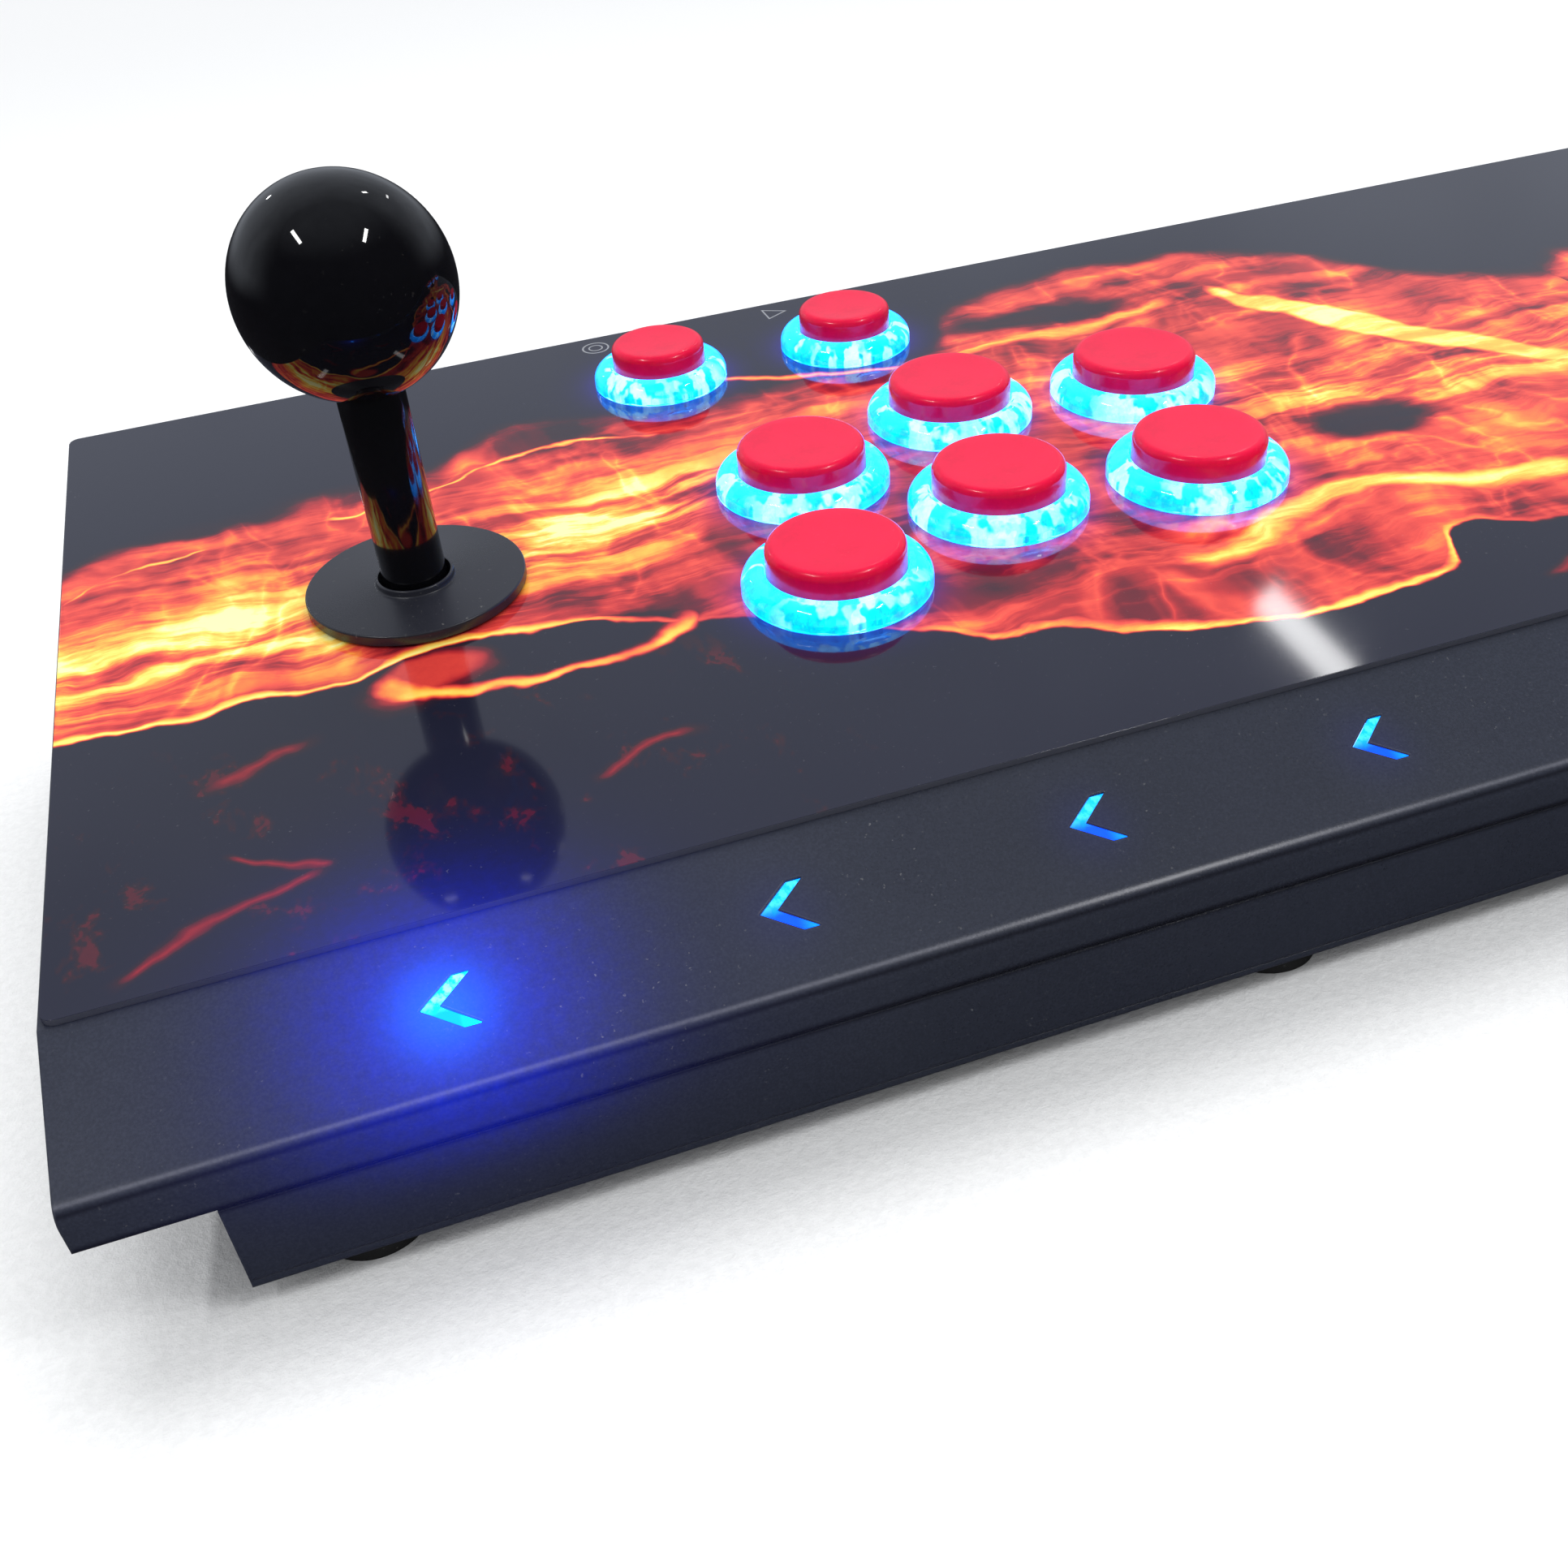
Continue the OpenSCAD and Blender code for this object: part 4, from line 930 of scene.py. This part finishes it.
class JOYSTICK_OT_sticks(bpy.types.Operator):
    """Ball, sleeve and dust washer of each stick, and the works under the deck"""

    bl_idname = "joystick.sticks"
    bl_label = "Sticks"

    def execute(self, context):
        coat_nodes(["stick_plates", "stick_housings", "stick_gates", "stick_bolts"])
        for side in SIDES:
            coat_nodes([side + "_" + n for n in ("shaft", "actuator", "spring", "pivot_ring", "dust_slider")])
            self.make(side)
        return {"FINISHED"}

    def make(self, side):
        low, high = box_in(DECK, side + "_ball")
        centre = (low + high) / 2
        r = (high.x - low.x) / 2 / MM
        sleeve_low, sleeve_high = box_in(DECK, side + "_sleeve")
        tube = (sleeve_high.x - sleeve_low.x) / 2 / MM

        def add(part, profile, steps, slot, body, node, z=0.0):
            mesh = turned(side + part, profile, steps=steps)
            axes = at_deck(centre.x, centre.y, z)
            keep(side + part, mesh, axes, finish(slot), side + body, [side + node])

        # The ball is cut flat where the sleeve meets it, so its middle is found from its top
        foot = math.degrees(math.asin((tube + 0.9) / r)) - 90
        profile = bend(0, 0, r, 90, foot, 60)
        profile[0] = (0, r)
        seat = profile[-1][1]
        shaft, depth = 3.05, 8.0
        profile += [(tube + 0.35, seat + 0.1), (tube + 0.12, seat + 0.5), (tube + 0.12, seat + 1.6),
                    (shaft, seat + 1.6), (shaft, depth), (0, depth)]
        add("_ball_top", profile, 128, "gloss_black", "_stick", "_ball", high.z - r * MM)
        z0, z1 = sleeve_low.z / MM, sleeve_high.z / MM
        bore, chamfer = tube - 1.05, tube - 0.2
        profile = [(bore, z0), (chamfer, z0), (tube, z0 + 0.3), (tube, z1 - 0.3), (chamfer, z1), (bore, z1)]
        add("_sleeve_tube", profile, 96, "sleeve_black", "_stick", "_sleeve")
        low, high = box_in(DECK, side + "_dust_washer")
        rim = (high.x - low.x) / 2 / MM
        z0, plate = low.z / MM, high.z / MM - 2.3
        profile = ([(tube + 0.75, z0), (rim - 0.25, z0), (rim, z0 + 0.25)]
                   + bend(rim - 0.35, plate - 0.35, 0.35, 0, 90, 4)
                   + [(tube + 1.6, plate)] + bend(tube + 1.6, plate + 0.35, 0.35, 270, 180, 3)[1:]
                   + bend(tube + 0.95, plate + 0.9, 0.3, 0, 90, 3) + [(tube + 0.75, plate + 1.15)])
        add("_washer_disc", profile, 128, "washer_black", "_washer", "_dust_washer")


class JOYSTICK_OT_case(bpy.types.Operator):
    """Powder-coated case, its feet and its fastenings"""

    bl_idname = "joystick.case"
    bl_label = "Case"

    def execute(self, context):
        coat_nodes(["upper_shell", "base_frame", "bottom_plate", "rubber_feet", "m3_screws", "shell_screws",
                    "clinch_nuts"])
        return {"FINISHED"}


class JOYSTICK_OT_cover(bpy.types.Operator):
    """Printed cover on the deck"""

    bl_idname = "joystick.cover"
    bl_label = "Printed Cover"

    def execute(self, context):
        coat_nodes(["deck_cover"])
        return {"FINISHED"}


# Outlines of an arrow and half a lozenge, and a lens's foot and top below the steel's face, in millimetres
ARROW = [(0.15, 0), (5.0, 3.85), (7.2, 3.85), (2.45, 0), (7.2, -3.85), (5.0, -3.85)]
ARROW_FACES = ((0, 1, 2, 3), (0, 3, 4, 5))
LOZENGE = [(0.85, 4.1), (0.85, 1.75), (2.4, 0), (0.85, -1.75), (0.85, -4.1), (4.75, 0)]
LOZENGE_FACES = ((0, 1, 2, 5), (2, 3, 4, 5))
LENS_SPAN = (-1.15, -0.12)


class JOYSTICK_OT_front_light(bpy.types.Operator):
    """Lit arrows along the slope and the strip behind them"""

    bl_idname = "joystick.front_light"
    bl_label = "Front Light"

    def execute(self, context):
        coat_nodes(["light_diffuser", "light_board"])
        look = context.scene.joystick_light
        low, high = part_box("upper_shell")
        length = high.x - low.x
        pitch = length / (2 * look.arrows + 2)
        plain = material_named("arrow_lens", chevron_lens, look.strength)
        bright = material_named("end_arrow_lens", chevron_lens, look.end_strength)
        for k in range(1, look.arrows + 1):
            lens = bright if k == 1 else plain
            self.make("left_arrow_%d" % k, ARROW, ARROW_FACES, (1,), k * pitch, lens)
            self.make("right_arrow_%d" % k, ARROW, ARROW_FACES, (-1,), length - k * pitch, lens)
        self.make("middle_lozenge", LOZENGE, LOZENGE_FACES, (-1, 1), length / 2, plain)
        return {"FINISHED"}

    def make(self, name, outline, faces, ways, x, material):
        """A thin lens, its top a little below the steel, drawn once for each way it points."""
        bm = bmesh.new()
        count = len(outline)
        for way in ways:
            low, high = loops = [[bm.verts.new((way * px * MM, py * MM, z * MM)) for px, py in outline]
                                 for z in LENS_SPAN]
            for k in range(count):
                n = (k + 1) % count
                bm.faces.new((low[k], low[n], high[n], high[k]))
            for loop in loops:
                for corners in faces:
                    bm.faces.new([loop[c] for c in corners])
        axes = SLOPE @ Matrix.Translation((x, chevron_row(), 0))
        keep(name, mesh_from(bm, name), axes, material, "case")


class JOYSTICK_OT_rear(bpy.types.Operator):
    """Game board, sockets and power switch"""

    bl_idname = "joystick.rear"
    bl_label = "Board and Sockets"

    def execute(self, context):
        coat_nodes(["game_board", "board_standoffs", "heat_sink", "video_sockets", "usb_sockets", "audio_jack",
                    "power_inlet", "rocker_frame", "rocker_paddle"])
        return {"FINISHED"}


# ---- Stage ----

# The camera's own directions, along the deck's axes
CAMERA_RIGHT = Vector((0.943788, -0.323357, -0.068585))
CAMERA_DOWN = Vector((-0.250488, -0.564242, -0.786694))
CAMERA_AHEAD = Vector((0.215685, 0.759652, -0.613522))

def pale_table(s, skin):
    """Pale table top with a fine sparkle in its texture."""
    fine = s.noise(s.place(), 0.55, 3.0, 0.75)
    colour = bpy.context.scene.joystick_stage.floor_colour
    s.fill(skin, {
        "Base Color": s.tinted((*colour, 1), s.ease(fine, 0.3, 0.7, 0.93, 1.0)),
        "Roughness": 0.6,
        "Normal": bumped(s, fine, 0.25, s.normal()),
    })


def studio_light(name, target, way, distance, roll, wide, tall, power):
    """An area lamp that faces a point from a way off, turned about its own line of sight."""
    lamp = bpy.data.lights.new(name, "AREA")
    lamp.shape = "RECTANGLE"
    lamp.size, lamp.size_y = wide, tall
    lamp.energy = power
    holder = bpy.data.objects.new(name, lamp)
    bpy.context.scene.collection.objects.link(holder)
    holder.location = target + Vector(way) * distance
    holder.rotation_euler = (target - holder.location).to_track_quat("-Z", "Y").to_euler()
    holder.rotation_euler.rotate_axis("Z", math.radians(roll))
    holder.visible_camera = False


class JOYSTICK_OT_stage(bpy.types.Operator):
    """Pale floor, soft lamps and the camera"""

    bl_idname = "joystick.stage"
    bl_label = "Stage"

    def execute(self, context):
        look = context.scene.joystick_stage
        bpy.ops.mesh.primitive_plane_add(size=80)
        floor = context.active_object
        floor.name = "table_top"
        floor.data.materials.append(material_named("pale_table", pale_table))
        floor.visible_glossy = False
        self.world(context.scene, look)
        ball_low, ball_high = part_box("left_ball")
        ball = (ball_low + ball_high) / 2
        sun = bpy.data.lights.new("soft_key", "SUN")
        sun.energy = look.key_power
        sun.angle = math.radians(50)
        key = bpy.data.objects.new("soft_key", sun)
        context.scene.collection.objects.link(key)
        key.rotation_euler = Vector((0.22, 0.5, 0.84)).to_track_quat("Z", "Y").to_euler()
        key.visible_glossy = False
        for name, way, roll, wide, tall, power in (
            ("tube_left", (-0.492, -0.245, 0.835), 65, 0.08, 0.46, 5.0),
            ("tube_right", (0.471, -0.439, 0.765), -54, 0.08, 0.4, 5.0),
            ("far_lamp_left", (-0.311, 0.815, 0.489), 0, 0.06, 0.05, 0.25),
            ("far_lamp_right", (0.432, 0.444, 0.785), 0, 0.05, 0.1, 0.4),
        ):
            studio_light(name, ball, way, 1.6, roll, wide, tall, power)
        spot = DECK @ Vector((0.1887, 0.0095, 0))
        studio_light("window_glint", spot, (0.522, 0.585, 0.620), 2.5, 58, 0.05, 0.2, 0.33)
        self.camera(context.scene, look)
        context.scene.view_settings.view_transform = "Standard"
        return {"FINISHED"}

    def world(self, scene, look):
        """Even white light, with a dim room in reflections that is lighter above and behind."""
        world = bpy.data.worlds.new("studio")
        scene.world = world
        world.use_nodes = True
        s = Shading(world.node_tree)
        sky = world.node_tree.nodes["Background"]
        path = s.add("LightPath").outputs
        x, y, z = s.parts(s.add("TexCoord").outputs["Generated"])
        behind = s.product(s.ease(y, -0.25, 0.45), s.ease(z, -0.05, 0.25))
        above = s.product(s.ease(z, 0.55, 1.0), 0.6)
        lit = s.largest(behind, above)
        room = s.noise(s.vector(x, y, z), 3.0, 3.0, 0.6)
        lit = s.product(lit, s.ease(room, 0.2, 0.8, 0.8, 1.15))
        dim = s.mix(lit, (0.02, 0.02, 0.024, 1), (*look.room_colour, 1))
        white = s.mix(path["Is Camera Ray"], (*[look.fill] * 3, 1), (1, 1, 1, 1))
        s.put(sky.inputs["Color"], s.mix(path["Is Glossy Ray"], white, dim))
        sky.inputs["Strength"].default_value = 1.0

    def camera(self, scene, look):
        camera = bpy.data.objects.new("camera", bpy.data.cameras.new("camera"))
        scene.collection.objects.link(camera)
        camera.data.sensor_width = 36.0
        camera.data.lens = look.lens
        camera.data.clip_start = 0.01
        camera.data.clip_end = 50.0
        turn = Matrix((CAMERA_RIGHT, -CAMERA_DOWN, -CAMERA_AHEAD)).transposed().to_4x4()
        camera.matrix_world = Matrix.Translation(DECK @ Vector(look.stand)) @ (DECK.to_3x3().to_4x4() @ turn)
        scene.camera = camera


# ---- Settings, panel and start ----


def colour_property(name, description, default):
    return FloatVectorProperty(name=name, description=description, default=default, subtype="COLOR", min=0, max=1)


def number_property(name, description, default, **settings):
    return FloatProperty(name=name, description=description, default=default, **settings)


class JoystickCase(bpy.types.PropertyGroup):
    coat_colour: colour_property("Coat Colour", "Colour of the powder coat", (0.0215, 0.025, 0.039))
    coat_roughness: number_property("Coat Roughness", "How matt the powder coat is", 0.3, subtype="FACTOR")


class JoystickCover(bpy.types.PropertyGroup):
    ground_colour: colour_property("Ground Colour", "Colour round the flames", (0.011, 0.012, 0.025))
    ember_colour: colour_property("Ember Colour", "Colour of the cooler flames", (0.46, 0.026, 0.03))
    flame_colour: colour_property("Flame Colour", "Colour of the hotter flames", (1.0, 0.5, 0.07))
    gloss_roughness: number_property("Gloss Roughness", "How blurred the gloss is", 0.05, subtype="FACTOR")


class JoystickButtons(bpy.types.PropertyGroup):
    plunger_colour: colour_property("Plunger Colour", "Colour of the plungers", (0.72, 0.002, 0.046))
    light_colour: colour_property("Light Colour", "Colour of the button lamps", (0.0, 0.25, 1.0))
    light_strength: number_property("Light Strength", "Brightness of the lit rings", 4.0)
    rim_glow: number_property("Rim Glow", "Light carried by the clear rims", 1.9)


class JoystickLight(bpy.types.PropertyGroup):
    arrows: IntProperty(name="Arrows", description="Arrows on each half of the slope", default=6, min=1)
    strength: number_property("Strength", "Brightness of the arrows", 1.7)
    end_strength: number_property("End Strength", "Brightness of the arrow at each end", 16.0)


class JoystickStage(bpy.types.PropertyGroup):
    floor_colour: colour_property("Floor Colour", "Colour of the table top", (0.86, 0.87, 0.88))
    key_power: number_property("Key Strength", "Strength of the soft lamp above and behind", 2.0)
    fill: number_property("Fill", "Brightness of the even white light", 0.72)
    room_colour: colour_property("Room Colour", "Colour of the room seen in gloss", (0.5, 0.535, 0.6))
    lens: number_property("Lens", "Focal length of the camera", 36.082, unit="CAMERA")
    stand: FloatVectorProperty(name="Camera Place", description="Where the camera stands, along the deck's axes",
                               default=(0.05396, -0.16321, 0.13846), subtype="TRANSLATION", unit="LENGTH")


STEPS = (JOYSTICK_OT_case, JOYSTICK_OT_cover, JOYSTICK_OT_front_light, JOYSTICK_OT_buttons, JOYSTICK_OT_sticks,
         JOYSTICK_OT_rear, JOYSTICK_OT_stage)
SETTINGS = {"joystick_case": JoystickCase, "joystick_cover": JoystickCover, "joystick_buttons": JoystickButtons,
            "joystick_light": JoystickLight, "joystick_stage": JoystickStage}


class JOYSTICK_PT_panel(bpy.types.Panel):
    bl_idname = "JOYSTICK_PT_panel"
    bl_label = "Joystick Console"
    bl_space_type = "VIEW_3D"
    bl_region_type = "UI"
    bl_category = "Console"

    def draw(self, context):
        for step in STEPS:
            self.layout.operator(step.bl_idname)
        for name, kind in SETTINGS.items():
            box = self.layout.box()
            for setting in kind.__annotations__:
                box.prop(getattr(context.scene, name), setting)


def register():
    for kind in (*SETTINGS.values(), *STEPS, JOYSTICK_PT_panel):
        bpy.utils.register_class(kind)
    for name, kind in SETTINGS.items():
        setattr(bpy.types.Scene, name, PointerProperty(type=kind))


def unregister():
    for name in SETTINGS:
        delattr(bpy.types.Scene, name)
    for kind in (JOYSTICK_PT_panel, *reversed(STEPS), *SETTINGS.values()):
        bpy.utils.unregister_class(kind)


def main():
    register()
    bpy.ops.joystick.case()
    bpy.ops.joystick.cover()
    bpy.ops.joystick.front_light()
    bpy.ops.joystick.buttons()
    bpy.ops.joystick.sticks()
    bpy.ops.joystick.rear()
    bpy.ops.joystick.stage()


if __name__ == "__main__":
    main()
